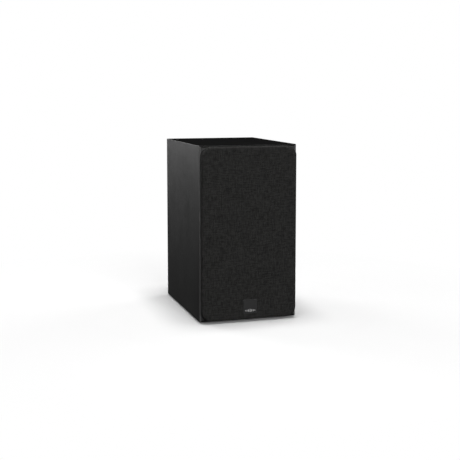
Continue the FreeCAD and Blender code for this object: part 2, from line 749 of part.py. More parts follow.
def woofer_surround():
    """Half-roll of rubber from the basket's ledge to the rim of the cone."""
    middle = (ROLL_OUTER + ROLL_INNER) / 2
    top = WOOFER_LEDGE_DEPTH - RUBBER
    profile = [
        (WOOFER_LEDGE - WOOFER_EDGE, top),
        (ROLL_OUTER, top),
        ((middle, top - ROLL_HEIGHT), (ROLL_INNER, top)),
        (CONE_RIM, top),
        (CONE_RIM, WOOFER_LEDGE_DEPTH),
        (ROLL_INNER + RUBBER, WOOFER_LEDGE_DEPTH),
        ((middle, WOOFER_LEDGE_DEPTH - ROLL_HEIGHT), (ROLL_OUTER - RUBBER, WOOFER_LEDGE_DEPTH)),
        (WOOFER_LEDGE - WOOFER_EDGE, WOOFER_LEDGE_DEPTH),
    ]
    return turned(profile, WOOFER_Z)


def cone_middle():
    """Middle point of the cone's curved front, bowed away from the straight line."""
    radius = (CONE_RIM + CONE_NECK) / 2 - CONE_BOW
    depth = (WOOFER_LEDGE_DEPTH + CONE_NECK_DEPTH) / 2 - CONE_BOW
    return radius, depth


def cone_depth_at(radius):
    """Depth of the cone's front surface at a radius, on the arc through rim, middle and neck."""
    places = ((CONE_RIM, WOOFER_LEDGE_DEPTH), cone_middle(), (CONE_NECK, CONE_NECK_DEPTH))
    rim, middle, neck = [Vector(*place, 0) for place in places]
    circle = Part.Arc(rim, middle, neck).toShape().Curve
    across = radius - circle.Center.x
    side = math.copysign(1.0, middle.y - circle.Center.y)
    return circle.Center.y + side * math.sqrt(circle.Radius**2 - across**2)


def woofer_cone():
    middle = cone_middle()
    rim_depth = WOOFER_LEDGE_DEPTH
    profile = [
        (ROLL_INNER, rim_depth),
        (CONE_RIM, rim_depth),
        (middle, (CONE_NECK, CONE_NECK_DEPTH)),
        (CONE_NECK, CONE_NECK_DEPTH + CONE_PAPER),
        ((middle[0], middle[1] + CONE_PAPER), (CONE_RIM, rim_depth + CONE_PAPER)),
        (ROLL_INNER, rim_depth + CONE_PAPER),
    ]
    return turned(profile, WOOFER_Z)


def domed_cap(radius, height, thickness, base, centre_z):
    """Shell cut from a sphere, bulging forward from its rim at the base depth."""
    sphere = (radius**2 + height**2) / (2 * height)
    half_angle = math.asin(radius / sphere) / 2

    def on_shell(shell):
        return shell * math.sin(half_angle), base - height + sphere - shell * math.cos(half_angle)

    inner_rim = math.sqrt((sphere - thickness) ** 2 - (sphere - height) ** 2)
    profile = [
        (0.0, base - height),
        (on_shell(sphere), (radius, base)),
        (inner_rim, base),
        (on_shell(sphere - thickness), (0.0, base - height + thickness)),
    ]
    return turned(profile, centre_z)


def woofer_dust_cap():
    return domed_cap(CAP_RADIUS, CAP_HEIGHT, CAP_THICKNESS, cone_depth_at(CAP_RADIUS), WOOFER_Z)


def woofer_spider():
    """Corrugated cloth disc that centres the voice coil: a collar, waves and a rim on the ledge."""
    inner = FORMER_OUTER + 0.1
    first = inner + SPIDER_COLLAR
    last = SPIDER_LEDGE - SPIDER_THICKNESS
    rim = BASKET_NECK - BASKET_SKIN - SPIDER_THICKNESS
    half_wave = (last - first) / (2 * SPIDER_WAVES)

    def waves(depth):
        steps = []
        for n in range(2 * SPIDER_WAVES):
            crest = depth + (SPIDER_WAVE if n % 2 else -SPIDER_WAVE)
            start = first + n * half_wave
            steps.append(((start + half_wave / 2, crest), (start + half_wave, depth)))
        return steps

    def backward(steps, depth):
        ends = [(first, depth)] + [end for _, end in steps[:-1]]
        return [(middle, end) for (middle, _), end in zip(reversed(steps), reversed(ends))]

    front = SPIDER_DEPTH - SPIDER_THICKNESS
    profile = [(inner, front), (first, front)]
    profile += waves(front)
    profile += [(rim, front), (rim, SPIDER_DEPTH), (last, SPIDER_DEPTH)]
    profile += backward(waves(SPIDER_DEPTH), SPIDER_DEPTH)
    profile += [(inner, SPIDER_DEPTH)]
    return turned(profile, WOOFER_Z)


def woofer_voice_coil():
    """Thin former with its winding."""
    former = ring(FORMER_INNER, FORMER_OUTER, (FORMER_START, FORMER_END), WOOFER_Z)
    winding = ring(FORMER_OUTER, COIL_OUTER, (COIL_START, COIL_END), WOOFER_Z)
    return former, winding


def woofer_yoke():
    """Steel pole on its back plate, vented through the middle."""
    profile = [
        (POLE_VENT, BASKET_BACK_DEPTH),
        (POLE_RADIUS - POLE_BEVEL, BASKET_BACK_DEPTH),
        (POLE_RADIUS, BASKET_BACK_DEPTH + POLE_BEVEL),
        (POLE_RADIUS, MAGNET_END),
        (YOKE_RADIUS, MAGNET_END),
        (YOKE_RADIUS, YOKE_END - YOKE_BEVEL),
        (YOKE_RADIUS - YOKE_BEVEL, YOKE_END),
        (POLE_VENT + VENT_FLARE, YOKE_END),
        (POLE_VENT, YOKE_END - VENT_FLARE),
    ]
    return turned(profile, WOOFER_Z)


def woofer_terminal_board():
    width, thickness = TERMINAL_BOARD
    y_range = [FRONT_Y + depth for depth in LUG_DEPTHS]
    return box((-width / 2, width / 2), y_range, (WOOFER_TAG_Z - thickness, WOOFER_TAG_Z))


def driver_terminal_tags():
    """Push-on tags: two on the woofer's board and two on the tweeter's plate."""
    kinds = ((WOOFER_TAG_Z, WOOFER_TAG_DEPTHS), (TWEETER_TAG_Z, (PLATE_BODY_DEPTH, TWEETER_TAG_END)))
    tags = []
    for z, depths in kinds:
        y_range = [FRONT_Y + depth for depth in depths]
        for x in (-TAG_SPREAD, TAG_SPREAD):
            tags.append(box((x - TAG_WIDTH / 2, x + TAG_WIDTH / 2), y_range, (z, z + TAG_THICKNESS)))
    return tags


def woofer_tinsel_leads():
    """Braided leads from the terminal board through the basket to the back of the cone."""
    cone_back = cone_depth_at(TINSEL_CONE_RADIUS) + CONE_PAPER
    route = (
        (10.6, 31.0, 50.8),
        (15.0, 27.5, 49.0),
        (17.0, 23.0, 42.0),
        (13.0, 20.5, 33.0),
        (8.0, cone_back + 1.2, TINSEL_CONE_RADIUS - TINSEL_RADIUS),
    )
    leads = []
    for side in (-1, 1):
        points = [Vector(side * x, FRONT_Y + depth, WOOFER_Z + rise) for x, depth, rise in route]
        leads.append(tube_along(points, TINSEL_RADIUS, "tinsel lead"))
    return leads


# Tweeter


def tweeter_faceplate():
    middle = ((DISH_RADIUS + THROAT) / 2, DISH_DEPTH / 2 - DISH_BOW)
    profile = [
        (PLATE_RADIUS - PLATE_BEVEL, 0.0),
        (DISH_RADIUS, 0.0),
        (middle, (THROAT, DISH_DEPTH)),
        (THROAT, PLATE_BODY_DEPTH),
        (PLATE_BODY, PLATE_BODY_DEPTH),
        (PLATE_BODY, PLATE_THICKNESS),
        (PLATE_RADIUS, PLATE_THICKNESS),
        (PLATE_RADIUS, PLATE_BEVEL),
    ]
    plate_solid = turned(profile, TWEETER_Z)
    for x, z in around(TWEETER_SCREW_ANGLES, TWEETER_SCREW_CIRCLE, TWEETER_Z):
        plate_solid = plate_solid.cut(screw_hole(DRIVER_SCREW, x, z, FRONT_Y))
    return plate_solid


def tweeter_surround():
    base = PLATE_BODY_DEPTH
    inner = DOME_RADIUS + 0.1
    middle = (inner + TWEETER_ROLL) / 2
    profile = [
        (TWEETER_CLAMP, base),
        (TWEETER_ROLL, base),
        ((middle, base - TWEETER_ROLL_HEIGHT), (inner, base)),
        (inner, base + SILK),
        (inner + SILK, base + SILK),
        ((middle, base - TWEETER_ROLL_HEIGHT + SILK), (TWEETER_ROLL - SILK, base + SILK)),
        (TWEETER_CLAMP, base + SILK),
    ]
    return turned(profile, TWEETER_Z)


def tweeter_dome():
    return domed_cap(DOME_RADIUS, DOME_HEIGHT, SILK, PLATE_BODY_DEPTH, TWEETER_Z)


def tweeter_voice_coil():
    """Thin former with its winding."""
    base = PLATE_BODY_DEPTH
    inner = TWEETER_FORMER["inner"]
    outer = TWEETER_FORMER["outer"]
    former = ring(inner, outer, (base, base + TWEETER_FORMER["length"]), TWEETER_Z)
    span = (base + TWEETER_COIL["start"], base + TWEETER_COIL["end"])
    return former, ring(outer, TWEETER_COIL["outer"], span, TWEETER_Z)


def tweeter_motor():
    """Top plate, ring magnet and vented yoke, stacked behind the faceplate."""
    start = PLATE_BODY_DEPTH + SILK
    plate_end = start + TWEETER_PLATE
    magnet_end = plate_end + TWEETER_MAGNET_LENGTH
    yoke_end = magnet_end + TWEETER_YOKE
    plate_radius = TWEETER_MAGNET - TWEETER_MAGNET_LIP
    yoke_radius = plate_radius - TWEETER_MAGNET_LIP
    top_plate = ring(TWEETER_BORE, plate_radius, (start, plate_end), TWEETER_Z)
    magnet = ring(TWEETER_MAGNET_BORE, TWEETER_MAGNET, (plate_end, magnet_end), TWEETER_Z)
    profile = [
        (TWEETER_VENT, start + SILK),
        (TWEETER_POLE, start + SILK),
        (TWEETER_POLE, magnet_end),
        (yoke_radius, magnet_end),
        (yoke_radius, yoke_end),
        (TWEETER_VENT, yoke_end),
    ]
    return top_plate, magnet, turned(profile, TWEETER_Z), yoke_end


def tweeter_rear_chamber(start):
    """Closed cup behind the vented pole."""
    end = start + CHAMBER_DEPTH
    profile = [
        (CHAMBER_RADIUS, start),
        (CHAMBER_RADIUS, end - CHAMBER_BEVEL),
        (CHAMBER_RADIUS - CHAMBER_BEVEL, end),
        (0.0, end),
        (0.0, end - CHAMBER_WALL),
        (CHAMBER_RADIUS - CHAMBER_WALL, end - CHAMBER_WALL),
        (CHAMBER_RADIUS - CHAMBER_WALL, start),
    ]
    return turned(profile, TWEETER_Z)


# Rear fittings


def arc_middle(centre, radius):
    """Middle of the quarter arc between the inward and the outward direction from its centre."""
    reach = radius * math.sqrt(0.5)
    return centre[0] - reach, centre[1] + reach


def reflex_port():
    """Flared tube with its flange flush with the back edges of the walls."""
    mouth = PORT_RADIUS + PORT_FLARE
    outer = PORT_RADIUS + PORT_WALL
    flange_back = -REAR_SETBACK
    inner_end = -PORT_LENGTH
    inner_mouth = PORT_RADIUS + PORT_INNER_FLARE
    flare_start = inner_end + PORT_INNER_FLARE
    flare_centre = (mouth, -PORT_FLARE)
    tip = PORT_INNER_FLARE * math.sqrt(0.5)
    profile = [
        (PORT_FLANGE - PORT_LIP, 0.0),
        (mouth, 0.0),
        (arc_middle(flare_centre, PORT_FLARE), (PORT_RADIUS, -PORT_FLARE)),
        (PORT_RADIUS, flare_start),
        ((inner_mouth - tip, flare_start - tip), (inner_mouth, inner_end)),
        (inner_mouth + PORT_LIP, inner_end),
        (inner_mouth + PORT_LIP, inner_end + 1.5 * PORT_LIP),
        (outer, inner_end + PORT_TAPER),
        (outer, -PORT_FLARE),
        (arc_middle(flare_centre, PORT_FLARE - PORT_WALL), (mouth, -PORT_WALL)),
        (mouth, flange_back),
        (PORT_FLANGE, flange_back),
        (PORT_FLANGE, -PORT_LIP),
    ]
    return turned(profile, PORT_Z, 0.0, REAR_Y)


def cup_screw_places():
    return [(x, CUP_Z + z) for x in (-CUP_SCREW_X, CUP_SCREW_X) for z in (-CUP_SCREW_Z, CUP_SCREW_Z)]


def hanger_screw_places():
    return [(x, HANGER_Z) for x in (-HANGER_SCREW_X, HANGER_SCREW_X)]


def rounded_rectangle(size, corner, y, z):
    """Wire of a rounded rectangle across Y."""
    slab = plate(size, corner, (y, y + 1), 0, z)
    face = [f for f in slab.Faces if abs(f.BoundBox.YMax - y) < 1e-4][0]
    return face.OuterWire


def cup_block(extra, mouth_y, floor_y):
    """Solid that narrows from the cup's mouth to its floor, larger all round by an extra."""
    corner = CUP_CORNER + extra
    mouth = [side + 2 * extra for side in CUP_MOUTH]
    floor = [side + 2 * extra for side in CUP_FLOOR]
    wires = [
        rounded_rectangle(floor, corner - 1, floor_y, CUP_Z),
        rounded_rectangle(mouth, corner, mouth_y, CUP_Z),
    ]
    return Part.makeLoft(wires, True, True)


def terminal_cup():
    flange_y = (REAR_Y - CUP_FLANGE_THICKNESS, REAR_Y)
    cup = plate(CUP_FLANGE, CUP_FLANGE_CORNER, flange_y, 0, CUP_Z)
    cup = cup.makeFillet(CUP_EDGE, edges_in_plane(cup, REAR_Y))
    cup = cup.fuse(cup_block(CUP_WALL, flange_y[0], CUP_INSIDE_Y))
    cup = cup.cut(cup_block(0.0, REAR_Y, CUP_FLOOR_Y))
    for x in (-POST_X, POST_X):
        cup = cup.cut(rod(TAIL_RADIUS + TAIL_GAP, past((CUP_INSIDE_Y, CUP_FLOOR_Y)), x, CUP_Z))
    for x, z in cup_screw_places():
        cup = cup.cut(screw_hole(REAR_SCREW, x, z, REAR_Y, -1))
    return cup


def terminal_gasket():
    y_range = (BACK_Y, BACK_Y + CUP_GASKET)
    through = past(y_range)
    gasket = plate([side - CUP_HOLE_GAP for side in CUP_FLANGE], CUP_FLANGE_CORNER, y_range, 0, CUP_Z)
    gasket = gasket.cut(plate(cup_cutout(), CUP_CORNER + CUP_WALL, through, 0, CUP_Z))
    for x, z in cup_screw_places():
        gasket = gasket.cut(rod(REAR_SCREW["shank"] + SCREW_HOLE_GAP, through, x, z))
    return gasket


def rear_screws():
    cup = [screw(REAR_SCREW, x, z, REAR_Y, -1) for x, z in cup_screw_places()]
    hanger = [screw(REAR_SCREW, x, z, BACK_Y + HANGER_THICKNESS, -1) for x, z in hanger_screw_places()]
    return cup + hanger


def post_insulators():
    """Insulating collars on the cup's floor and washers behind it."""
    hole = TAIL_RADIUS + TAIL_GAP
    washer_radius, washer_thickness = POST_WASHER
    rings = []
    for x in (-POST_X, POST_X):
        collar = rod(POST_BASE_RADIUS, (CUP_FLOOR_Y, COLLAR_Y), x, CUP_Z)
        collar = collar.makeChamfer(POST_BEVEL, edges_in_plane(collar, COLLAR_Y))
        rings.append(collar.cut(rod(hole, past((CUP_FLOOR_Y, COLLAR_Y)), x, CUP_Z)))
        rings.append(ring(hole, washer_radius, (-washer_thickness, 0.0), CUP_Z, x, CUP_INSIDE_Y))
    return rings


def post_stud(x):
    """Plated stud: collar, shank with its plug socket and cross hole, and a tail through the cup."""
    stud = rod(COLLAR_RADIUS, (COLLAR_Y, SHANK_Y), x, CUP_Z)
    shank = rod(SHANK_RADIUS, (SHANK_Y, SHANK_END_Y), x, CUP_Z)
    shank = shank.makeChamfer(SHANK_BEVEL, edges_in_plane(shank, SHANK_END_Y))
    tail = rod(TAIL_RADIUS, (CUP_FLOOR_Y - TAIL_LENGTH, COLLAR_Y), x, CUP_Z)
    stud = stud.fuse(shank).fuse(tail)
    stud = stud.cut(rod(PLUG_SOCKET, (SHANK_END_Y - SOCKET_LENGTH, SHANK_END_Y + OVERCUT), x, CUP_Z))
    across = past((CUP_Z - SHANK_RADIUS, CUP_Z + SHANK_RADIUS))
    return stud.cut(upright(CROSS_HOLE, across, x, SHANK_Y + CROSS_HOLE_RISE))


def solder_tag(x):
    thickness = SOLDER_TAG["thickness"]
    radius = SOLDER_TAG["radius"]
    half = SOLDER_TAG["width"] / 2
    tag = ring(TAIL_RADIUS + TAIL_GAP, radius, (0.0, thickness), CUP_Z, x, TAG_FACE_Y)
    tongue_z = (CUP_Z - SOLDER_TAG["reach"], CUP_Z - radius + TAIL_GAP)
    tongue = box((x - half, x + half), (TAG_FACE_Y, TAG_FACE_Y + thickness), tongue_z)
    return tag.fuse(tongue).removeSplitter()


def post_nut(x):
    height = POST_NUT["height"]
    start = TAG_FACE_Y - height
    nut = hexagon(POST_NUT["radius"], x, CUP_Z, start, height)
    return nut.cut(rod(TAIL_RADIUS + POST_NUT["gap"], past((start, TAG_FACE_Y)), x, CUP_Z))


def knob_washer(x):
    """Loose clamp washer that travels with the knob."""
    return ring(SHANK_RADIUS + KNOB_CLEARANCE, WASHER_RADIUS, (0.0, WASHER_THICKNESS), CUP_Z, x, SHANK_Y)


def knob_insert(x):
    """Threaded brass sleeve inside the knob, shown at its thread's clearance size."""
    return ring(SHANK_RADIUS + KNOB_CLEARANCE, INSERT_RADIUS, (0.0, INSERT_LENGTH), CUP_Z, x, KNOB_Y)


def knob(x):
    """Fluted cap nut with an open end for the plug."""
    end = KNOB_LENGTH
    crown_in, crown_back = KNOB_CROWN
    crown_middle = (KNOB_RADIUS - 0.3 * crown_in, end - 0.3 * crown_back)
    profile = [
        (INSERT_RADIUS, 0.0),
        (KNOB_RADIUS - KNOB_BEVEL, 0.0),
        (KNOB_RADIUS, KNOB_BEVEL),
        (KNOB_RADIUS, end - crown_back),
        (crown_middle, (KNOB_RADIUS - crown_in, end)),
        (KNOB_MOUTH + KNOB_BEVEL, end),
        (KNOB_MOUTH, end - KNOB_BEVEL),
        (KNOB_MOUTH, INSERT_LENGTH),
        (INSERT_RADIUS, INSERT_LENGTH),
    ]
    cap = turned(profile, CUP_Z, x, KNOB_Y)
    start, short = KNOB_FLUTE_ENDS
    flute_y = (KNOB_Y + start, KNOB_Y + end - short)
    angles = [360.0 * n / KNOB_FLUTES for n in range(KNOB_FLUTES)]
    places = around(angles, KNOB_RADIUS + KNOB_FLUTE_RADIUS / 3, CUP_Z)
    flutes = [rod(KNOB_FLUTE_RADIUS, flute_y, x + across, z) for across, z in places]
    return cap.cut(Part.makeCompound(flutes))


def hanger_plate():
    """Steel keyhole plate: the round hole takes a screw's head and the slot above it the shank."""
    y_range = (BACK_Y, BACK_Y + HANGER_THICKNESS)
    through = past(y_range)
    hanger = plate(HANGER_SIZE, HANGER_CORNER, y_range, 0, HANGER_Z)
    hole_z = HANGER_Z - KEYHOLE_DROP
    hanger = hanger.cut(rod(KEYHOLE_RADIUS, through, 0, hole_z))
    hanger = hanger.cut(box((-KEYHOLE_SLOT, KEYHOLE_SLOT), through, (hole_z, hole_z + KEYHOLE_RISE)))
    hanger = hanger.cut(rod(KEYHOLE_SLOT, through, 0, hole_z + KEYHOLE_RISE))
    for x, z in hanger_screw_places():
        hanger = hanger.cut(screw_hole(REAR_SCREW, x, z, BACK_Y + HANGER_THICKNESS, -1))
    return hanger


# Crossover


def spacer_places():
    half = BOARD_WIDTH / 2 - BOARD_SCREW_INSET
    near, far = BOARD_Y
    return [(x, y) for x in (-half, half) for y in (near + BOARD_SCREW_INSET, far - BOARD_SCREW_INSET)]


def crossover_board():
    board = box((-BOARD_WIDTH / 2, BOARD_WIDTH / 2), BOARD_Y, (BOARD_Z, BOARD_TOP_Z))
    for x, y in spacer_places():
        board = board.cut(upright(SPACER_BORE, past((BOARD_Z, BOARD_TOP_Z)), x, y))
    return board


def crossover_fixings():
    """A spacer and a screw at each corner of the board."""
    head_z = (BOARD_TOP_Z, BOARD_TOP_Z + BOARD_SCREW["head_height"])
    fixings = []
    for x, y in spacer_places():
        spacer = upright(SPACER_RADIUS, (FLOOR_Z, BOARD_Z), x, y)
        fixings.append(spacer.cut(upright(SPACER_BORE, past((FLOOR_Z, BOARD_Z)), x, y)))
        shank = upright(BOARD_SCREW["shank"], (FLOOR_Z, BOARD_TOP_Z), x, y)
        fixings.append(shank.fuse(upright(BOARD_SCREW["head"], head_z, x, y)))
    return fixings


def inductors():
    """Bobbins and their copper windings."""
    bobbins = []
    windings = []
    for size in INDUCTORS:
        place = (size["x"], size["y"])
        span = (BOARD_TOP_Z, BOARD_TOP_Z + size["height"])
        groove = (span[0] + BOBBIN_CHEEK, span[1] - BOBBIN_CHEEK)
        core = size["core"] + BOBBIN_WALL
        hub = upright(core, groove, *place)
        bobbin = upright(size["radius"], span, *place)
        bobbin = bobbin.cut(upright(size["radius"] + OVERCUT, groove, *place).cut(hub))
        bobbins.append(bobbin.cut(upright(size["core"], past(span), *place)))
        windings.append(upright(size["radius"] - WINDING_INSET, groove, *place).cut(hub))
    return bobbins, windings


def capacitors():
    cans = []
    for size in CAPACITORS:
        centre = Vector(size["x"], size["y"], BOARD_TOP_Z + size["radius"])
        can = Part.makeCylinder(size["radius"], size["length"], centre, Vector(1, 0, 0))
        rims = [e for e in can.Edges if isinstance(e.Curve, Part.Circle)]
        cans.append(can.makeFillet(CAPACITOR_EDGE, rims))
    return cans


def resistors():
    width, length, height = RESISTOR_SIZE
    return [box((x, x + width), (y, y + length), (BOARD_TOP_Z, BOARD_TOP_Z + height)) for x, y in RESISTORS]


# Wadding and wiring


def wadding_pads():
    """A pad on each side wall and one under the top."""
    inside = HALF_WIDTH - WALL
    ceiling = TOP_Z - WALL
    spans = ((-inside, WADDING - inside), (inside - WADDING, inside))
    pads = [box(span, WADDING_Y, WADDING_Z) for span in spans]
    pads.append(box((-TOP_WADDING_X, TOP_WADDING_X), WADDING_Y, (ceiling - WADDING, ceiling)))
    return pads


def wiring(side, colour):
    """Input, woofer and tweeter leads on one side of the cabinet."""
    low = BOARD_TOP_Z
    tag_y = TAG_FACE_Y - WIRE_RADIUS
    woofer_end = (TAG_SPREAD, FRONT_Y + 44, WOOFER_TAG_Z + TAG_THICKNESS + WIRE_RADIUS)
    tweeter_end = (TAG_SPREAD, FRONT_Y + 18, TWEETER_TAG_Z - WIRE_RADIUS)
    routes = {
        "input": ((POST_X, tag_y, 62), (19.5, 79, 47), (24, 67, 38), (31, 55, 34), (34, 49, low)),
        "woofer": (
            (44, -14, low),
            (47, -17, 46),
            (50, -22, 86),
            (44, -27, 122),
            (27, -33, 143),
            (11, -46, 146),
            woofer_end,
        ),
        "tweeter": (
            (44, 20, low),
            (49, 21, 50),
            (53, 14, 90),
            (51, 2, 130),
            (40, -20, 160),
            (20, -50, 178),
            (8, -72, 182),
            tweeter_end,
        ),
    }
    leads = []
    for name, route in routes.items():
        points = [Vector(side * x, y, z) for x, y, z in route]
        leads.append(tube_along(points, WIRE_RADIUS, f"{colour} {name} lead"))
    return leads


os.makedirs("parts", exist_ok=True)

WALL_NAMES = ("bottom_panel", "right_side_panel", "top_panel", "left_side_panel")
for wall_name, wall in zip(WALL_NAMES, cabinet_walls()):
    save(wall_name, wall)
save("front_baffle", front_baffle())
save("rear_panel", rear_panel())
save("rubber_feet", *rubber_feet())

save("grille_frame", grille_frame())
save("grille_cloth", grille_cloth())
save("grille_pegs", *grille_pegs())
save("grille_sockets", *grille_sockets())
save("grille_badge", grille_badge())
save("badge_inlay", *badge_inlay())

save("driver_screws", *driver_screws())
save("driver_gaskets", *driver_gaskets())
save("woofer_basket", woofer_basket())
save("woofer_surround", woofer_surround())
save("woofer_cone", woofer_cone())
save("woofer_dust_cap", woofer_dust_cap())
save("woofer_spider", woofer_spider())
save("woofer_voice_coil", *woofer_voice_coil())
save("woofer_top_plate", ring(TOP_PLATE_BORE, TOP_PLATE_RADIUS, (BASKET_BACK_DEPTH, TOP_PLATE_END), WOOFER_Z))
save("woofer_magnet", ring(MAGNET_BORE, MAGNET_RADIUS, (TOP_PLATE_END, MAGNET_END), WOOFER_Z))
save("woofer_yoke", woofer_yoke())
save("woofer_terminal_board", woofer_terminal_board())
save("driver_terminal_tags", *driver_terminal_tags())
save("woofer_tinsel_leads", *woofer_tinsel_leads())

save("tweeter_faceplate", tweeter_faceplate())
save("tweeter_surround", tweeter_surround())
save("tweeter_dome", tweeter_dome())
save("tweeter_voice_coil", *tweeter_voice_coil())
tweeter_top_plate, tweeter_magnet, tweeter_yoke, tweeter_motor_end = tweeter_motor()
save("tweeter_top_plate", tweeter_top_plate)
save("tweeter_magnet", tweeter_magnet)
save("tweeter_yoke", tweeter_yoke)
save("tweeter_rear_chamber", tweeter_rear_chamber(tweeter_motor_end))

save("reflex_port", reflex_port())
save("terminal_cup", terminal_cup())
save("terminal_gasket", terminal_gasket())
save("rear_screws", *rear_screws())
save("hanger_plate", hanger_plate())
POSTS = {"red": POST_X, "black": -POST_X}
save("post_insulators", *post_insulators())
save("post_studs", *[post_stud(x) for x in POSTS.values()])
save("post_solder_tags", *[solder_tag(x) for x in POSTS.values()])
save("post_nuts", *[post_nut(x) for x in POSTS.values()])
for colour, post_x in POSTS.items():
    save(f"{colour}_knob_washer", knob_washer(post_x))
    save(f"{colour}_knob_insert", knob_insert(post_x))
    save(f"{colour}_knob", knob(post_x))
    save(f"{colour}_wiring", *wiring(math.copysign(1, post_x), colour))

save("crossover_board", crossover_board())
save("crossover_fixings", *crossover_fixings())
bobbins, windings = inductors()
save("inductor_bobbins", *bobbins)
save("inductor_windings", *windings)
save("capacitors", *capacitors())
save("resistors", *resistors())

save("wadding_pads", *wadding_pads())
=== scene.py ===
import json
import math

import bmesh
import bpy
from mathutils import Matrix, Vector, noise
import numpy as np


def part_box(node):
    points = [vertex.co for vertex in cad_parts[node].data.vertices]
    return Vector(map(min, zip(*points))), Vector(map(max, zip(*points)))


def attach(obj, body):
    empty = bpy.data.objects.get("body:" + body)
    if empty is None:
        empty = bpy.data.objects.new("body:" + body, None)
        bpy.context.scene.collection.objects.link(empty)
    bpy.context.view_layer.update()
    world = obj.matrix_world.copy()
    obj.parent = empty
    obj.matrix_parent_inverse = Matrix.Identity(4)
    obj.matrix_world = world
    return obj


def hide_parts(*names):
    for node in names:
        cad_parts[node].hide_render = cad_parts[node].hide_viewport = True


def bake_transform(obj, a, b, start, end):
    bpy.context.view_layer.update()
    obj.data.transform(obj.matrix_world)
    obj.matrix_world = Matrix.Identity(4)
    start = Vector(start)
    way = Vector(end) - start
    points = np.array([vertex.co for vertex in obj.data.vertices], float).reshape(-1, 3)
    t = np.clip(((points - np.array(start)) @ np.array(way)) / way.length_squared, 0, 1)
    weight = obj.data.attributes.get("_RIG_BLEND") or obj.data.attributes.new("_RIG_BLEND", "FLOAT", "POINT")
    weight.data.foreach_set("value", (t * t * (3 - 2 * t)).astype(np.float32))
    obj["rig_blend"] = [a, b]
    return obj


# Bookshelf loudspeaker: finishes, soft parts, floor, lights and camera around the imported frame.
# Metres. The front faces -Y, +Z is up.

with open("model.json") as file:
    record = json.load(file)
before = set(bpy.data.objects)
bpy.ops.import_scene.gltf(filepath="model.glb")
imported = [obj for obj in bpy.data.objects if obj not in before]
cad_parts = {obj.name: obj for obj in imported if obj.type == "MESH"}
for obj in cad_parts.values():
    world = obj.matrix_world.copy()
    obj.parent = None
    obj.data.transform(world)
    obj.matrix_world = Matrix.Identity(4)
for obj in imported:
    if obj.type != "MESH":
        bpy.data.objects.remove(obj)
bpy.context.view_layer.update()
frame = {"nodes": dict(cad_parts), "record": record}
nodes = frame["nodes"]
print("frame loaded:", len(nodes), "nodes")

millimetre = 0.001
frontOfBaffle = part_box("front_baffle")[0].y
wooferAxis = (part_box("woofer_cone")[0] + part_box("woofer_cone")[1]) / 2
tweeterAxis = (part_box("tweeter_dome")[0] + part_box("tweeter_dome")[1]) / 2
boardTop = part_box("crossover_board")[1].z


# node building for the finishes

def addNode(tree, kind, inputs=None, **settings):
    node = tree.nodes.new(kind)
    for key, value in settings.items():
        setattr(node, key, value)
    for key, value in (inputs or {}).items():
        if isinstance(value, bpy.types.NodeSocket):
            tree.links.new(value, node.inputs[key])
        else:
            node.inputs[key].default_value = value
    return node


def calc(tree, operation, first, second=0.0, clamp=False):
    node = addNode(tree, "ShaderNodeMath", {0: first, 1: second}, operation=operation, use_clamp=clamp)
    return node.outputs[0]


def remap(tree, value, low, high, toLow, toHigh):
    ends = {"From Min": low, "From Max": high, "To Min": toLow, "To Max": toHigh}
    node = addNode(tree, "ShaderNodeMapRange", {"Value": value, **ends})
    return node.outputs["Result"]


def blendOf(tree, factor, first, second):
    node = addNode(tree, "ShaderNodeMix", data_type="RGBA")
    for socket, value in ((0, factor), (6, first), (7, second)):
        if isinstance(value, bpy.types.NodeSocket):
            tree.links.new(value, node.inputs[socket])
        else:
            node.inputs[socket].default_value = value
    return node.outputs[2]


def vectorCalc(tree, operation, first, second):
    return addNode(tree, "ShaderNodeVectorMath", {0: first, 1: second}, operation=operation).outputs[0]


def placed(tree, perMetre, centre=(0.0, 0.0, 0.0)):
    # the frame's own coordinates in metres, times so many cells a metre along each axis
    coords = addNode(tree, "ShaderNodeTexCoord").outputs["Object"]
    moved = vectorCalc(tree, "SUBTRACT", coords, tuple(centre))
    return vectorCalc(tree, "MULTIPLY", moved, tuple(perMetre))


def perCell(size):
    return (1.0 / size,) * 3


def cloudy(tree, place, detail=3.0, roughness=0.5):
    inputs = {"Vector": place, "Scale": 1.0, "Detail": detail, "Roughness": roughness}
    return addNode(tree, "ShaderNodeTexNoise", inputs).outputs["Fac"]


def splitXyz(tree, vector):
    return addNode(tree, "ShaderNodeSeparateXYZ", {0: vector}).outputs


# patterns: each gives a height from 0 to 1

axisNumber = {"x": 0, "y": 1, "z": 2}


def ridges(tree, value):
    # one rounded ridge for every whole step of the value
    return calc(tree, "ABSOLUTE", calc(tree, "SINE", calc(tree, "MULTIPLY", value, math.pi)))


ashPores = {"shallow": 0.52, "deep": 0.68, "depth": 0.45}


def grainPattern(tree, look):
    # long streaks with fine pores inside them, as in printed and embossed ash
    along = axisNumber[look["along"]]
    stretched = list(perCell(look["streak"]))
    stretched[along] = 1.0 / look["streakLength"]
    pores = list(perCell(look["pore"]))
    pores[along] = 1.0 / look["poreLength"]
    streaks = cloudy(tree, placed(tree, stretched), 4.0, 0.6)
    dashes = cloudy(tree, placed(tree, pores), 2.0)
    dashes = remap(tree, dashes, ashPores["shallow"], ashPores["deep"], 0.0, 1.0)
    sunk = calc(tree, "MULTIPLY", dashes, ashPores["depth"])
    return calc(tree, "SUBTRACT", streaks, sunk, clamp=True)


yarnPath = {"waveScale": 0.12, "wander": 0.7, "underHeight": 0.45}


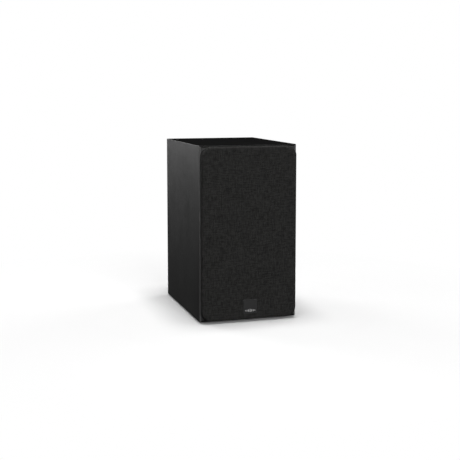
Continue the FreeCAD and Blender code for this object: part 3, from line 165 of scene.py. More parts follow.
def weavePattern(tree, look):
    # over and under: each thread is a bump that dives below its neighbour at every crossing
    if "attribute" in look:
        place = addNode(tree, "ShaderNodeAttribute", attribute_name=look["attribute"]).outputs["Vector"]
        place = vectorCalc(tree, "MULTIPLY", place, perCell(look["thread"]))
    else:
        place = placed(tree, perCell(look["thread"]))
    waves = {"Vector": place, "Scale": yarnPath["waveScale"], "Detail": 2.0}
    wobble = addNode(tree, "ShaderNodeTexNoise", waves).outputs["Color"]
    shifted = vectorCalc(tree, "SUBTRACT", wobble, (0.5, 0.5, 0.5))
    shifted = vectorCalc(tree, "MULTIPLY", shifted, (yarnPath["wander"],) * 3)
    axes = splitXyz(tree, vectorCalc(tree, "ADD", place, shifted))
    across, up = axes[0], axes[look.get("secondAxis", 1)]
    cells = calc(tree, "ADD", calc(tree, "FLOOR", across), calc(tree, "FLOOR", up))
    over = calc(tree, "PINGPONG", cells, 1.0)
    under = calc(tree, "SUBTRACT", 1.0, over)
    heights = []
    for thread, onTop in ((across, over), (up, under)):
        level = calc(tree, "MULTIPLY", onTop, 1.0 - yarnPath["underHeight"])
        level = calc(tree, "ADD", level, yarnPath["underHeight"])
        heights.append(calc(tree, "MULTIPLY", ridges(tree, thread), level))
    woven = calc(tree, "MAXIMUM", *heights)
    if "slub" not in look:
        return woven
    # thicker and thinner stretches of yarn, along the warp and along the weft
    short, long = look["thread"] / look["slub"], look["thread"] / look["slubLength"]
    stretches = []
    for acrossScale, upScale, layer in ((short, long, 0.0), (long, short, 9.0)):
        x = calc(tree, "MULTIPLY", across, acrossScale)
        y = calc(tree, "MULTIPLY", up, upScale)
        yarn = addNode(tree, "ShaderNodeCombineXYZ", {0: x, 1: y, 2: layer}).outputs[0]
        stretches.append(cloudy(tree, yarn, 2.0))
    uneven = calc(tree, "ADD", *stretches)
    return calc(tree, "MULTIPLY", woven, remap(tree, uneven, 0.8, 1.2, look["thinYarn"], 1.0))


speckMix = {"spots": 0.6, "fine": 0.5, "fineScale": 2.3}


def speckPattern(tree, look):
    # moulded or sprayed skin: small round cells with a finer noise on them
    cells = {"Vector": placed(tree, perCell(look["cell"])), "Scale": 1.0, "Randomness": 1.0}
    spots = addNode(tree, "ShaderNodeTexVoronoi", cells, feature="F1").outputs["Distance"]
    fine = cloudy(tree, placed(tree, (speckMix["fineScale"] / look["cell"],) * 3), 3.0, 0.6)
    spots = calc(tree, "MULTIPLY", spots, speckMix["spots"])
    fine = calc(tree, "MULTIPLY", fine, speckMix["fine"])
    return calc(tree, "ADD", spots, fine, clamp=True)


def fibrePattern(tree, look):
    # crossed short fibres: one noise stretched along Z and one along X
    near = placed(tree, (1.0 / look["fibre"], 1.0 / look["fibre"], 1.0 / look["length"]))
    far = placed(tree, (1.0 / look["length"], 1.0 / look["fibre"], 1.0 / look["fibre"]))
    first = cloudy(tree, near, 4.0, 0.65)
    second = cloudy(tree, far, 4.0, 0.65)
    return calc(tree, "MAXIMUM", first, second)


def turnedPattern(tree, look):
    # lathe marks: fine rings about an axis that runs along Y
    x, y, z = splitXyz(tree, placed(tree, (1.0, 1.0, 1.0), look["centre"]))
    squares = calc(tree, "ADD", calc(tree, "MULTIPLY", x, x), calc(tree, "MULTIPLY", z, z))
    radius = calc(tree, "MULTIPLY", calc(tree, "SQRT", squares), 1.0 / look["pitch"])
    depth = calc(tree, "MULTIPLY", y, 1.0 / look["pitch"])
    spread = addNode(tree, "ShaderNodeCombineXYZ", {0: radius, 1: depth, 2: 0.0}).outputs[0]
    return cloudy(tree, spread, 3.0, 0.7)


wireWear = {"worn": 0.3, "fresh": 0.7, "lowest": 0.75}


def windingPattern(tree, look):
    # wire turns laid side by side along an axis, flatter where the enamel is worn
    axes = splitXyz(tree, placed(tree, perCell(look["pitch"])))
    turns = ridges(tree, axes[axisNumber[look["along"]]])
    patches = cloudy(tree, placed(tree, perCell(look["patch"])), 2.0)
    wear = remap(tree, patches, wireWear["worn"], wireWear["fresh"], wireWear["lowest"], 1.0)
    return calc(tree, "MULTIPLY", turns, wear)


# one builder for every finish

finishes = {}

usualLook = {
    "patchGain": 1.18,  # how much paler the patches are than the light tone
    "mottle": 0.5,
    "toneRange": (0.15, 0.85),  # the heights that run from the dark tone to the light one
    "patchRange": (0.4, 0.75),
    "roughRange": (0.2, 0.8),
    "edgeWear": 0.6,  # how much of the painted edge highlight is left where the pattern is deepest
    "shader": {},
}


def makeFinish(name, pattern, ownLook):
    look = {**usualLook, **ownLook}
    material = bpy.data.materials.new(name)
    material.use_nodes = True
    tree = material.node_tree
    shader = tree.nodes["Principled BSDF"]
    height = pattern(tree, look)
    patches = cloudy(tree, placed(tree, perCell(look["patch"])), 3.0)
    dark = (*look["dark"], 1.0)
    light = (*look["light"], 1.0)
    worn = (*[c * look["patchGain"] for c in look["light"]], 1.0)
    colour = blendOf(tree, remap(tree, height, *look["toneRange"], 0.0, 1.0), dark, light)
    patched = remap(tree, patches, *look["patchRange"], 0.0, 1.0)
    colour = blendOf(tree, calc(tree, "MULTIPLY", patched, look["mottle"]), colour, worn)
    if "edgeTone" in look:
        # painted highlight: the wrap's colour is made paler along the front edge, in place of the light its
        # edge would catch
        depth = splitXyz(tree, placed(tree, (1.0, 1.0, 1.0)))[1]
        edgeHighlightMask = remap(tree, depth, look["edgeAt"], look["edgeAt"] + look["edgeWidth"], 1.0, 0.0)
        edgeHighlightMask = calc(tree, "MULTIPLY", edgeHighlightMask, remap(tree, height, 0.0, 0.7, look["edgeWear"], 1.0))
        colour = blendOf(tree, edgeHighlightMask, colour, (*look["edgeTone"], 1.0))
    tree.links.new(colour, shader.inputs["Base Color"])
    smooth, rough = look["roughness"]
    mixed = calc(tree, "ADD", calc(tree, "MULTIPLY", height, 0.5), calc(tree, "MULTIPLY", patches, 0.5))
    tree.links.new(remap(tree, mixed, *look["roughRange"], rough, smooth), shader.inputs["Roughness"])
    relief = {"Strength": look["bump"], "Distance": look["relief"], "Height": height}
    tree.links.new(addNode(tree, "ShaderNodeBump", relief).outputs[0], shader.inputs["Normal"])
    for socket, value in look["shader"].items():
        shader.inputs[socket].default_value = value
    finishes[name] = material


def grey(value):
    return (value, value, value)


blackAsh = {
    "along": "z",
    "dark": grey(0.0028),
    "light": grey(0.0125),
    "streak": 3.4 * millimetre,
    "streakLength": 160 * millimetre,
    "pore": 0.5 * millimetre,
    "poreLength": 11 * millimetre,
    "patch": 60 * millimetre,
    "edgeAt": frontOfBaffle,
    "edgeWidth": 1.1 * millimetre,
    # painted highlight along the front edges of the sides
    "edgeTone": grey(0.065),
    "roughness": (0.36, 0.53),
    "bump": 0.6,
    "relief": 0.16 * millimetre,
    "shader": {"Specular IOR Level": 0.42},
}
makeFinish("blackAshUpright", grainPattern, blackAsh)
# top and bottom panels: the same ash vinyl with its grain running front to back, painted darker and given a
# lower specular level, as painted shade that keeps the top darker than the sides
blackAshTopPaintedShade = {
    **blackAsh,
    "along": "y",
    "dark": grey(0.001),
    "light": grey(0.0035),
    # a dimmer painted highlight along the front edges of the top and bottom
    "edgeTone": grey(0.012),
    "roughness": (0.30, 0.42),
    "shader": {"Specular IOR Level": 0.08},
}
makeFinish("blackAshLevel", grainPattern, blackAshTopPaintedShade)

blackBoard = {
    "dark": grey(0.006),
    "light": grey(0.013),
    "fibre": 0.5 * millimetre,
    "length": 2.2 * millimetre,
    "patch": 30 * millimetre,
    "roughness": (0.5, 0.68),
    "bump": 0.35,
    "relief": 0.08 * millimetre,
}
makeFinish("blackBoard", fibrePattern, blackBoard)

blackPlastic = {
    "dark": grey(0.007),
    "light": grey(0.0125),
    "cell": 0.55 * millimetre,
    "patch": 18 * millimetre,
    "roughness": (0.36, 0.52),
    "bump": 0.28,
    "relief": 0.05 * millimetre,
}
makeFinish("blackPlastic", speckPattern, blackPlastic)

grilleCloth = {
    "attribute": "flatPlace",
    "thread": 0.62 * millimetre,
    "slub": 2.0 * millimetre,
    "slubLength": 11 * millimetre,
    "thinYarn": 0.48,
    "dark": (0.0065, 0.0065, 0.0063),
    "light": (0.042, 0.0416, 0.0404),
    "patch": 30 * millimetre,
    "mottle": 0.12,
    "roughness": (0.82, 0.95),
    "bump": 0.75,
    "relief": 0.2 * millimetre,
    "shader": {"Specular IOR Level": 0.08},
}
makeFinish("grilleCloth", weavePattern, grilleCloth)

badgePlate = {
    "dark": grey(0.015),
    "light": grey(0.026),
    "cell": 0.3 * millimetre,
    "patch": 8 * millimetre,
    "mottle": 0.3,
    "roughness": (0.3, 0.42),
    "bump": 0.15,
    "relief": 0.02 * millimetre,
}
makeFinish("badgePlate", speckPattern, badgePlate)

softRubber = {
    "dark": grey(0.009),
    "light": grey(0.02),
    "cell": 0.8 * millimetre,
    "patch": 12 * millimetre,
    "roughness": (0.5, 0.7),
    "bump": 0.2,
    "relief": 0.05 * millimetre,
    "shader": {"Specular IOR Level": 0.4},
}
makeFinish("softRubber", speckPattern, softRubber)

domeSilk = {
    "thread": 0.32 * millimetre,
    "secondAxis": 2,
    "dark": grey(0.006),
    "light": (0.026, 0.026, 0.029),
    "patch": 5 * millimetre,
    "roughness": (0.38, 0.55),
    "bump": 0.5,
    "relief": 0.06 * millimetre,
    "shader": {"Coat Weight": 0.25, "Coat Roughness": 0.35},
}
makeFinish("domeSilk", weavePattern, domeSilk)

spiderCloth = {
    "thread": 0.7 * millimetre,
    "secondAxis": 2,
    "dark": (0.22, 0.12, 0.035),
    "light": (0.5, 0.31, 0.1),
    "patch": 9 * millimetre,
    "roughness": (0.6, 0.85),
    "bump": 0.8,
    "relief": 0.2 * millimetre,
}
makeFinish("spiderCloth", weavePattern, spiderCloth)

conePaper = {
    "dark": grey(0.008),
    "light": grey(0.024),
    "fibre": 0.35 * millimetre,
    "length": 2.6 * millimetre,
    "patch": 8 * millimetre,
    "roughness": (0.55, 0.8),
    "bump": 0.45,
    "relief": 0.1 * millimetre,
}
makeFinish("conePaper", fibrePattern, conePaper)

coatedSteel = {
    "dark": grey(0.012),
    "light": grey(0.026),
    "cell": 0.7 * millimetre,
    "patch": 14 * millimetre,
    "roughness": (0.4, 0.6),
    "bump": 0.35,
    "relief": 0.08 * millimetre,
}
makeFinish("coatedSteel", speckPattern, coatedSteel)

zincSteel = {
    "centre": wooferAxis,
    "pitch": 0.35 * millimetre,
    "dark": grey(0.36),
    "light": (0.56, 0.56, 0.53),
    "patch": 7 * millimetre,
    "patchGain": 0.85,
    "roughness": (0.25, 0.42),
    "bump": 0.2,
    "relief": 0.03 * millimetre,
    "shader": {"Metallic": 1.0},
}
makeFinish("zincSteel", turnedPattern, zincSteel)

ferrite = {
    "dark": grey(0.016),
    "light": grey(0.045),
    "cell": 0.5 * millimetre,
    "patch": 6 * millimetre,
    "roughness": (0.42, 0.72),
    "bump": 0.6,
    "relief": 0.1 * millimetre,
}
makeFinish("ferrite", speckPattern, ferrite)

blackScrew = {
    "dark": grey(0.02),
    "light": grey(0.05),
    "cell": 0.35 * millimetre,
    "patch": 3 * millimetre,
    "roughness": (0.28, 0.45),
    "bump": 0.2,
    "relief": 0.03 * millimetre,
    "shader": {"Metallic": 0.7},
}
makeFinish("blackScrew", speckPattern, blackScrew)

silverInlay = {
    "along": "x",
    "streak": 0.12 * millimetre,
    "streakLength": 4 * millimetre,
    "pore": 0.1 * millimetre,
    "poreLength": 2 * millimetre,
    "dark": grey(0.6),
    "light": grey(0.9),
    "patch": 4 * millimetre,
    "patchGain": 1.0,
    "roughness": (0.22, 0.36),
    "bump": 0.2,
    "relief": 0.02 * millimetre,
    "shader": {"Metallic": 0.55},
}
makeFinish("silverInlay", grainPattern, silverInlay)

giltBrass = {
    "centre": (0.0, 0.0, (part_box("post_studs")[0].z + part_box("post_studs")[1].z) / 2),
    "pitch": 0.25 * millimetre,
    "dark": (0.62, 0.36, 0.09),
    "light": (0.86, 0.58, 0.2),
    "patch": 4 * millimetre,
    "patchGain": 1.08,
    "roughness": (0.14, 0.28),
    "bump": 0.15,
    "relief": 0.02 * millimetre,
    "shader": {"Metallic": 1.0},
}
makeFinish("giltBrass", turnedPattern, giltBrass)

copperWire = {
    "along": "y",
    "pitch": 0.5 * millimetre,
    "dark": (0.28, 0.08, 0.025),
    "light": (0.72, 0.27, 0.1),
    "patch": 5 * millimetre,
    "roughness": (0.2, 0.4),
    "bump": 0.5,
    "relief": 0.1 * millimetre,
    "shader": {"Metallic": 0.85, "Coat Weight": 0.4, "Coat Roughness": 0.15},
}
makeFinish("copperWire", windingPattern, copperWire)

redPlastic = {
    "dark": (0.3, 0.006, 0.006),
    "light": (0.46, 0.014, 0.01),
    "cell": 0.9 * millimetre,
    "patch": 6 * millimetre,
    "roughness": (0.2, 0.34),
    "bump": 0.12,
    "relief": 0.04 * millimetre,
    "shader": {"Coat Weight": 0.3, "Coat Roughness": 0.12},
}
makeFinish("redPlastic", speckPattern, redPlastic)

blackKnob = {**redPlastic, "dark": grey(0.007), "light": grey(0.014)}
makeFinish("blackKnob", speckPattern, blackKnob)

redInsulation = {
    **redPlastic,
    "dark": (0.25, 0.008, 0.006),
    "light": (0.42, 0.02, 0.012),
    "roughness": (0.35, 0.5),
}
makeFinish("redInsulation", speckPattern, redInsulation)

blackInsulation = {**redInsulation, "dark": grey(0.008), "light": grey(0.018)}
makeFinish("blackInsulation", speckPattern, blackInsulation)

boardGreen = {
    "thread": 1.4 * millimetre,
    "dark": (0.008, 0.06, 0.022),
    "light": (0.014, 0.105, 0.038),
    "patch": 22 * millimetre,
    "roughness": (0.22, 0.4),
    "bump": 0.2,
    "relief": 0.05 * millimetre,
}
makeFinish("boardGreen", weavePattern, boardGreen)

bobbinNylon = {
    "dark": (0.52, 0.5, 0.44),
    "light": (0.68, 0.66, 0.59),
    "cell": 1.1 * millimetre,
    "patch": 8 * millimetre,
    "roughness": (0.45, 0.62),
    "bump": 0.2,
    "relief": 0.05 * millimetre,
    "shader": {"Subsurface Weight": 0.05},
}
makeFinish("bobbinNylon", speckPattern, bobbinNylon)

capacitorSleeve = {
    "along": "x",
    "streak": 0.9 * millimetre,
    "streakLength": 14 * millimetre,
    "pore": 0.4 * millimetre,
    "poreLength": 5 * millimetre,
    "dark": (0.36, 0.2, 0.02),
    "light": (0.55, 0.34, 0.05),
    "patch": 10 * millimetre,
    "roughness": (0.2, 0.36),
    "bump": 0.15,
    "relief": 0.05 * millimetre,
}
makeFinish("capacitorSleeve", grainPattern, capacitorSleeve)

resistorCement = {
    "dark": (0.42, 0.4, 0.35),
    "light": (0.66, 0.64, 0.57),
    "cell": 0.6 * millimetre,
    "patch": 5 * millimetre,
    "roughness": (0.75, 0.95),
    "bump": 0.7,
    "relief": 0.12 * millimetre,
}
makeFinish("resistorCement", speckPattern, resistorCement)

polyesterWadding = {
    "dark": (0.42, 0.42, 0.41),
    "light": (0.82, 0.82, 0.8),
    "fibre": 0.5 * millimetre,
    "length": 7 * millimetre,
    "patch": 25 * millimetre,
    "patchGain": 1.05,
    "roughness": (0.85, 1.0),
    "bump": 1.0,
    "relief": 0.8 * millimetre,
    "shader": {"Specular IOR Level": 0.2, "Sheen Weight": 0.2},
}
makeFinish("polyesterWadding", fibrePattern, polyesterWadding)
print("finishes made:", len(finishes))

# a record slot wears the finish of the same name, apart from these
slotFinish = {
    "black_ash_vinyl": "blackAshUpright",
    "wadding": "polyesterWadding",
    "silk": "domeSilk",
    "copper": "copperWire",
    "knob_black": "blackKnob",
}
# the top and bottom panels wear the darker painted-shade copy of the ash vinyl
ownFinish = {"top_panel": "blackAshLevel", "bottom_panel": "blackAshLevel", "grille_badge": "badgePlate"}


def finishFor(slotName):
    first, *others = slotName.split("_")
    sameName = first + "".join(word.capitalize() for word in others)
    return slotFinish.get(slotName, sameName)


def dressNodes():
    for part in frame["record"]["subparts"]:
        name = part["node"]
        finish = ownFinish.get(name, finishFor(part["material_slot"]))
        materials = nodes[name].data.materials
        materials.clear()
        materials.append(finishes[finish])


dressNodes()


# mesh building for the pieces

def addPiece(name, mesh, finish, body, slotName, *replaced):
    piece = bpy.data.objects.new(name, mesh)
    bpy.context.scene.collection.objects.link(piece)
    mesh.materials.append(finishes[finish])
    if body:
        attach(piece, body)
    if replaced:
        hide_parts(*replaced)
    return piece


def finishMesh(name, bm, sharpAngle=50):
    bmesh.ops.recalc_face_normals(bm, faces=bm.faces)
    for face in bm.faces:
        face.smooth = True
    mesh = bpy.data.meshes.new(name)
    bm.to_mesh(mesh)
    bm.free()
    mesh.set_sharp_from_angle(angle=math.radians(sharpAngle))
    return mesh


def skinRings(bm, rings, closeLast=True):
    # faces between each ring of points and the next; closeLast joins the last ring to the first
    count = len(rings[0])
    pairs = list(zip(rings, rings[1:]))
    if closeLast:
        pairs.append((rings[-1], rings[0]))
    for near, far in pairs:
        for n in range(count):
            m = (n + 1) % count
            bm.faces.new((near[n], near[m], far[m], far[n]))


def turnOutline(bm, outline, centre, axis="y", steps=128):
    # spins a closed outline of (radius, place along the axis) about a line through the centre
    rings = []
    for step in range(steps):
        angle = 2 * math.pi * step / steps
        ring = []
        for radius, along in outline:
            first, second = radius * math.cos(angle), radius * math.sin(angle)
            if axis == "y":
                ring.append(bm.verts.new((centre[0] + first, along, centre[2] + second)))
            else:
                ring.append(bm.verts.new((centre[0] + first, centre[1] + second, along)))
        rings.append(ring)
    skinRings(bm, rings)


def thicken(middleLine, thickness):
    # closed outline around a middle line, half the thickness to each side
    front = []
    back = []
    for n, point in enumerate(middleLine):
        before = Vector(middleLine[max(n - 1, 0)])
        after = Vector(middleLine[min(n + 1, len(middleLine) - 1)])
        along = (after - before).normalized()
        side = Vector((-along.y, along.x)) * thickness / 2
        front.append(tuple(Vector(point) + side))
        back.append(tuple(Vector(point) - side))
    return front + back[::-1]


def arcLine(start, end, rise, count):
    # points on the arc between two radii at one depth, with its middle that far in front
    half = (end[0] - start[0]) / 2
    radius = (half * half + rise * rise) / (2 * rise)
    reach = math.asin(min(1.0, abs(half) / radius))
    if rise > abs(half):
        reach = math.pi - reach
    middle = (start[0] + end[0]) / 2
    centre = start[1] - rise + radius
    sign = 1 if half > 0 else -1
    points = []
    for n in range(count + 1):
        turn = -reach + 2 * reach * n / count
        points.append((middle + sign * radius * math.sin(turn), centre - radius * math.cos(turn)))
    return points


def addTurned(name, line, centre, recipe, finish, slotName, replaced):
    # thin round piece about a driver's axis; it rides no body, since a blend follows
    bm = bmesh.new()
    turnOutline(bm, thicken(line, recipe["thickness"]), centre, steps=recipe["turnSteps"])
    return addPiece(name, finishMesh(name, bm), finish, None, slotName, replaced)


def weighByRadius(piece, centre, fixedRadius, movingRadius):
    # the blend follows the distance from the driver's axis, not a straight line
    weights = piece.data.attributes["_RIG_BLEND"].data
    for vertex, weight in zip(piece.data.vertices, weights):
        radius = math.hypot(vertex.co.x - centre.x, vertex.co.z - centre.z)
        part = (fixedRadius - radius) / (fixedRadius - movingRadius)
        part = max(0.0, min(1.0, part))
        weight.value = part * part * (3 - 2 * part)


def smoothRoute(points):
    # points on the smooth line that a NURBS spline draws between its control points
    curve = bpy.data.curves.new("route", "CURVE")
    curve.dimensions = "3D"
    curve.resolution_u = 12
    spline = curve.splines.new("NURBS")
    spline.points.add(len(points) - 1)
    for slot, point in zip(spline.points, points):
        slot.co = (*point, 1.0)
    spline.order_u = 3
    spline.use_endpoint_u = True
    holder = bpy.data.objects.new("route", curve)
    line = bpy.data.meshes.new_from_object(holder)
    places = [vertex.co.copy() for vertex in line.vertices]
    bpy.data.objects.remove(holder)
    bpy.data.meshes.remove(line)
    bpy.data.curves.remove(curve)
    return places


def ropeAlong(bm, route, radius, strands=0, twist=0.0, groove=0.0, sides=16):
    # tube along a route, with a twisted outline where it has grooved strands;
    # gives back how far along the route each point lies, 0 to 1
    places = smoothRoute(route)
    lengths = [0.0]
    for before, after in zip(places, places[1:]):
        lengths.append(lengths[-1] + (after - before).length)
    side = Vector((1, 0, 0)).cross(places[1] - places[0])
    if side.length < 1e-6:
        side = Vector((0, 0, 1))
    rings = []
    share = {}
    for n, place in enumerate(places):
        along = (places[min(n + 1, len(places) - 1)] - places[max(n - 1, 0)]).normalized()
        side = (side - along * side.dot(along)).normalized()
        other = along.cross(side)
        ring = []
        for k in range(sides):
            angle = 2 * math.pi * k / sides
            swell = 1 - groove + groove * math.cos(strands * angle + twist * lengths[n])
            offset = side * math.cos(angle) + other * math.sin(angle)
            vertex = bm.verts.new(place + offset * radius * swell)
            share[vertex] = lengths[n] / lengths[-1]
            ring.append(vertex)
        rings.append(ring)
    skinRings(bm, rings, closeLast=False)
    bm.faces.new(rings[0][::-1])
    bm.faces.new(rings[-1])
    return share


# grille cloth: one sheet over the front, round the edges and turned in behind the frame

clothCut = {
    "thickness": 0.55 * millimetre,
    "corner": 16 * millimetre,
    "frontEdge": 3.0 * millimetre,
    "backFold": 0.8 * millimetre,
    "hem": 9.3 * millimetre,
    "rim": 10.5 * millimetre,
    "sag": 0.35 * millimetre,
    "sagReach": 12 * millimetre,
    "pleat": 0.16 * millimetre,
    "pleats": 12,  # in a full turn, so three at each corner
    "pleatStart": 3 * millimetre,
    "cornerSteps": 20,
    "sideStep": 6 * millimetre,
    "frontRings": 26,
    "edgeSteps": 6,
    "sideSteps": 4,
    "foldSteps": 4,
    "hemSteps": 5,
}


def outlineDirections(halfWidth, halfHeight, corner, cut):
    # an entry for each point of a rounded rectangle: its corner's signs, the angle,
    # and on a straight side the next corner's signs and how far along it lies
    entries = []
    starts = (0, 90, 180, 270)
    signs = ((1, 1), (-1, 1), (-1, -1), (1, -1))
    for index, (start, sign) in enumerate(zip(starts, signs)):
        for n in range(cut["cornerSteps"] + 1):
            entries.append((sign, math.radians(start + 90 * n / cut["cornerSteps"]), None))
        nextSign = signs[(index + 1) % 4]
        length = 2 * ((halfWidth - corner) if sign[0] != nextSign[0] else (halfHeight - corner))
        parts = max(2, round(length / cut["sideStep"]))
        for n in range(1, parts):
            entries.append((sign, math.radians(start + 90), (nextSign, n / parts)))
    return entries


def clothRing(entries, halfWidth, halfHeight, corner):
    places = []
    for sign, angle, between in entries:
        centreX = sign[0] * (halfWidth - corner)
        centreZ = sign[1] * (halfHeight - corner)
        if between:
            nextSign, part = between
            centreX += (nextSign[0] * (halfWidth - corner) - centreX) * part
            centreZ += (nextSign[1] * (halfHeight - corner) - centreZ) * part
        places.append((centreX + corner * math.cos(angle), centreZ + corner * math.sin(angle)))
    return places


def buildGrilleCloth(cut):
    low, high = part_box("grille_cloth")
    halfWidth = (high.x - low.x) / 2
    halfHeight = (high.z - low.z) / 2
    centreZ = (high.z + low.z) / 2
    edge, fold = cut["frontEdge"], cut["backFold"]
    entries = outlineDirections(halfWidth, halfHeight, cut["corner"], cut)
    profile = []  # (inset from the outline, y, distance along the cloth from the flat front's rim)
    for n in range(1, cut["edgeSteps"] + 1):
        turn = math.radians(90 * n / cut["edgeSteps"])
        profile.append((edge * (1 - math.sin(turn)), low.y + edge * (1 - math.cos(turn)), edge * turn))
    sideStart = profile[-1][2]
    sideLength = (high.y - fold) - (low.y + edge)
    for n in range(1, cut["sideSteps"] + 1):
        reach = sideLength * n / cut["sideSteps"]
        profile.append((0.0, low.y + edge + reach, sideStart + reach))
    foldStart = profile[-1][2]
    for n in range(1, cut["foldSteps"] + 1):
        turn = math.radians(90 * n / cut["foldSteps"])
        back = high.y - fold * (1 - math.sin(turn))
        profile.append((fold * (1 - math.cos(turn)), back, foldStart + fold * turn))
    hemStart = profile[-1][2]
    for n in range(1, cut["hemSteps"] + 1):
        reach = (cut["hem"] - fold) * n / cut["hemSteps"]
        profile.append((fold + reach, high.y, hemStart + reach))

    bm = bmesh.new()
    flatLayer = bm.verts.layers.float_vector.new("flatPlace")
    rings = []
    flatHalfWidth, flatHalfHeight = halfWidth - edge, halfHeight - edge
    flatCorner = cut["corner"] - edge
    for n in range(1, cut["frontRings"] + 1):
        part = n / cut["frontRings"]
        ring = []
        for x, z in clothRing(entries, flatHalfWidth * part, flatHalfHeight * part, flatCorner * part):
            inside = min(flatHalfWidth - abs(x), flatHalfHeight - abs(z)) - cut["rim"] + edge
            dip = cut["sag"] * max(0.0, 1 - math.exp(-max(0.0, inside) / cut["sagReach"]))
            vertex = bm.verts.new((x, low.y + dip, centreZ + z))
            vertex[flatLayer] = (x, z, 0.0)
            ring.append(vertex)
        rings.append(ring)
    middle = bm.verts.new((0.0, low.y + cut["sag"], centreZ))
    middle[flatLayer] = (0.0, 0.0, 0.0)
    count = len(rings[0])
    for n in range(count):
        bm.faces.new((middle, rings[0][n], rings[0][(n + 1) % count]))
    rim = [tuple(vertex[flatLayer]) for vertex in rings[-1]]
    for inset, y, distance in profile:
        corner = cut["corner"] - inset
        ring = []
        outline = clothRing(entries, halfWidth - inset, halfHeight - inset, corner)
        behind = max(0.0, distance - hemStart)
        for (x, z), (_, angle, between), (rimX, rimZ, _) in zip(outline, entries, rim):
            pleat = 0.0
            if between is None and behind > 0:
                wave = 0.5 - 0.5 * math.cos(cut["pleats"] * angle)
                pleat = cut["pleat"] * wave * min(1.0, behind / cut["pleatStart"])
            vertex = bm.verts.new((x, y - pleat, centreZ + z))
            flatX = rimX + distance * math.cos(angle)
            vertex[flatLayer] = (flatX, rimZ + distance * math.sin(angle), 0.0)
            ring.append(vertex)
        rings.append(ring)
    skinRings(bm, rings, closeLast=False)
    mesh = finishMesh("grilleClothSheet", bm, 60)
    cloth = addPiece("grilleClothSheet", mesh, "grilleCloth", "grille", "grille_cloth", "grille_cloth")
    solid = cloth.modifiers.new("thickness", "SOLIDIFY")
    solid.thickness = cut["thickness"]
    solid.offset = -1.0
    reach = profile[-1][2]


buildGrilleCloth(clothCut)


# woofer's rubber surround: outer land, half roll and inner land, glued to basket and cone

rubberRoll = {
    "outerLand": 65.2 * millimetre,
    "rollOuter": 60.6 * millimetre,
    "rollInner": 50.6 * millimetre,
    "innerLand": 46.8 * millimetre,
    "rise": 3.6 * millimetre,  # the crest stays clear of the grille's badge pad at full stroke
    "thickness": 0.68 * millimetre,
    "rollSteps": 28,
    "turnSteps": 144,
}


def buildSurround(roll):
    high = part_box("woofer_surround")[1]
    middleY = high.y - roll["thickness"] / 2
    line = [(roll["outerLand"], middleY), ((roll["outerLand"] + roll["rollOuter"]) / 2, middleY)]
    outer = (roll["rollOuter"] - roll["thickness"] / 2, middleY)
    inner = (roll["rollInner"] + roll["thickness"] / 2, middleY)
    line += arcLine(outer, inner, roll["rise"], roll["rollSteps"])
    line += [((roll["innerLand"] + roll["rollInner"]) / 2, middleY), (roll["innerLand"], middleY)]
    wears = ("softRubber", "soft_rubber", "woofer_surround")
    piece = addTurned("wooferSurroundRoll", line, wooferAxis, roll, *wears)
    start = (roll["outerLand"], high.y, wooferAxis.z)
    end = (roll["innerLand"], high.y, wooferAxis.z)
    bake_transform(piece, "cabinet", "woofer_diaphragm", start=start, end=end)
    weighByRadius(piece, wooferAxis, roll["rollOuter"], roll["rollInner"])


buildSurround(rubberRoll)


# spider: corrugated disc with a collar on the former and a rim on the basket's ledge

spiderDisc = {
    "collar": 13.02 * millimetre,
    "firstWave": 15.5 * millimetre,
    "lastWave": 35.5 * millimetre,
    "rim": 41.5 * millimetre,
    "waves": 4,
    "waveHeight": 1.35 * millimetre,
    "thickness": 0.45 * millimetre,
    "stepsPerWave": 14,
    "turnSteps": 120,
}


def buildSpider(disc):
    low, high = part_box("woofer_spider")
    middleY = (low.y + high.y) / 2
    line = [(disc["collar"], middleY)]
    total = disc["waves"] * disc["stepsPerWave"]
    for n in range(total + 1):
        part = n / total
        radius = disc["firstWave"] + (disc["lastWave"] - disc["firstWave"]) * part
        wave = disc["waveHeight"] * math.sin(2 * math.pi * disc["waves"] * part)
        line.append((radius, middleY - wave))
    line += [((disc["lastWave"] + disc["rim"]) / 2, middleY), (disc["rim"], middleY)]
    wears = ("spiderCloth", "spider_cloth", "woofer_spider")
    piece = addTurned("wooferSpiderDisc", line, wooferAxis, disc, *wears)
    start = (disc["rim"], middleY, wooferAxis.z)
    end = (disc["collar"], middleY, wooferAxis.z)
    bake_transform(piece, "cabinet", "woofer_diaphragm", start=start, end=end)
    weighByRadius(piece, wooferAxis, disc["lastWave"], disc["firstWave"])


buildSpider(spiderDisc)


# tinsel leads: two limp twisted braids from the terminal board to the cone

tinselBraid = {
    "radius": 0.5 * millimetre,
    "strands": 4,
    "twist": 2600.0,
    "groove": 0.14,
    "points": (  # millimetres to the side, behind the baffle's front and above the driver's axis
        (10.6, 31.0, 50.8),
        (15.0, 27.5, 49.0),
        (17.0, 23.0, 42.0),
        (13.0, 20.5, 33.0),
        (8.0, 19.6, 25.5),
    ),
}


def buildTinselLeads(braid):
    bm = bmesh.new()
    share = {}
    for side in (-1, 1):
        route = []
        for x, depth, rise in braid["points"]:
            y, z = frontOfBaffle + depth * millimetre, wooferAxis.z + rise * millimetre
            route.append((side * x * millimetre, y, z))
        twisted = (braid["strands"], braid["twist"], braid["groove"])
        share.update(ropeAlong(bm, route, braid["radius"], *twisted))
    bm.verts.index_update()
    shares = {vertex.index: value for vertex, value in share.items()}
    mesh = finishMesh("wooferTinselBraids", bm)
    piece = addPiece("wooferTinselBraids", mesh, "copperWire", None, "copper", "woofer_tinsel_leads")
    low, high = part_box("woofer_tinsel_leads")
    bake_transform(piece, "cabinet", "woofer_diaphragm", start=(0.0, high.y, high.z), end=(0.0, low.y, low.z))
    for index, weight in enumerate(piece.data.attributes["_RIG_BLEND"].data):
        part = shares[index]
        weight.value = part * part * (3 - 2 * part)


buildTinselLeads(tinselBraid)


# tweeter's silk surround: small roll between the faceplate and the dome

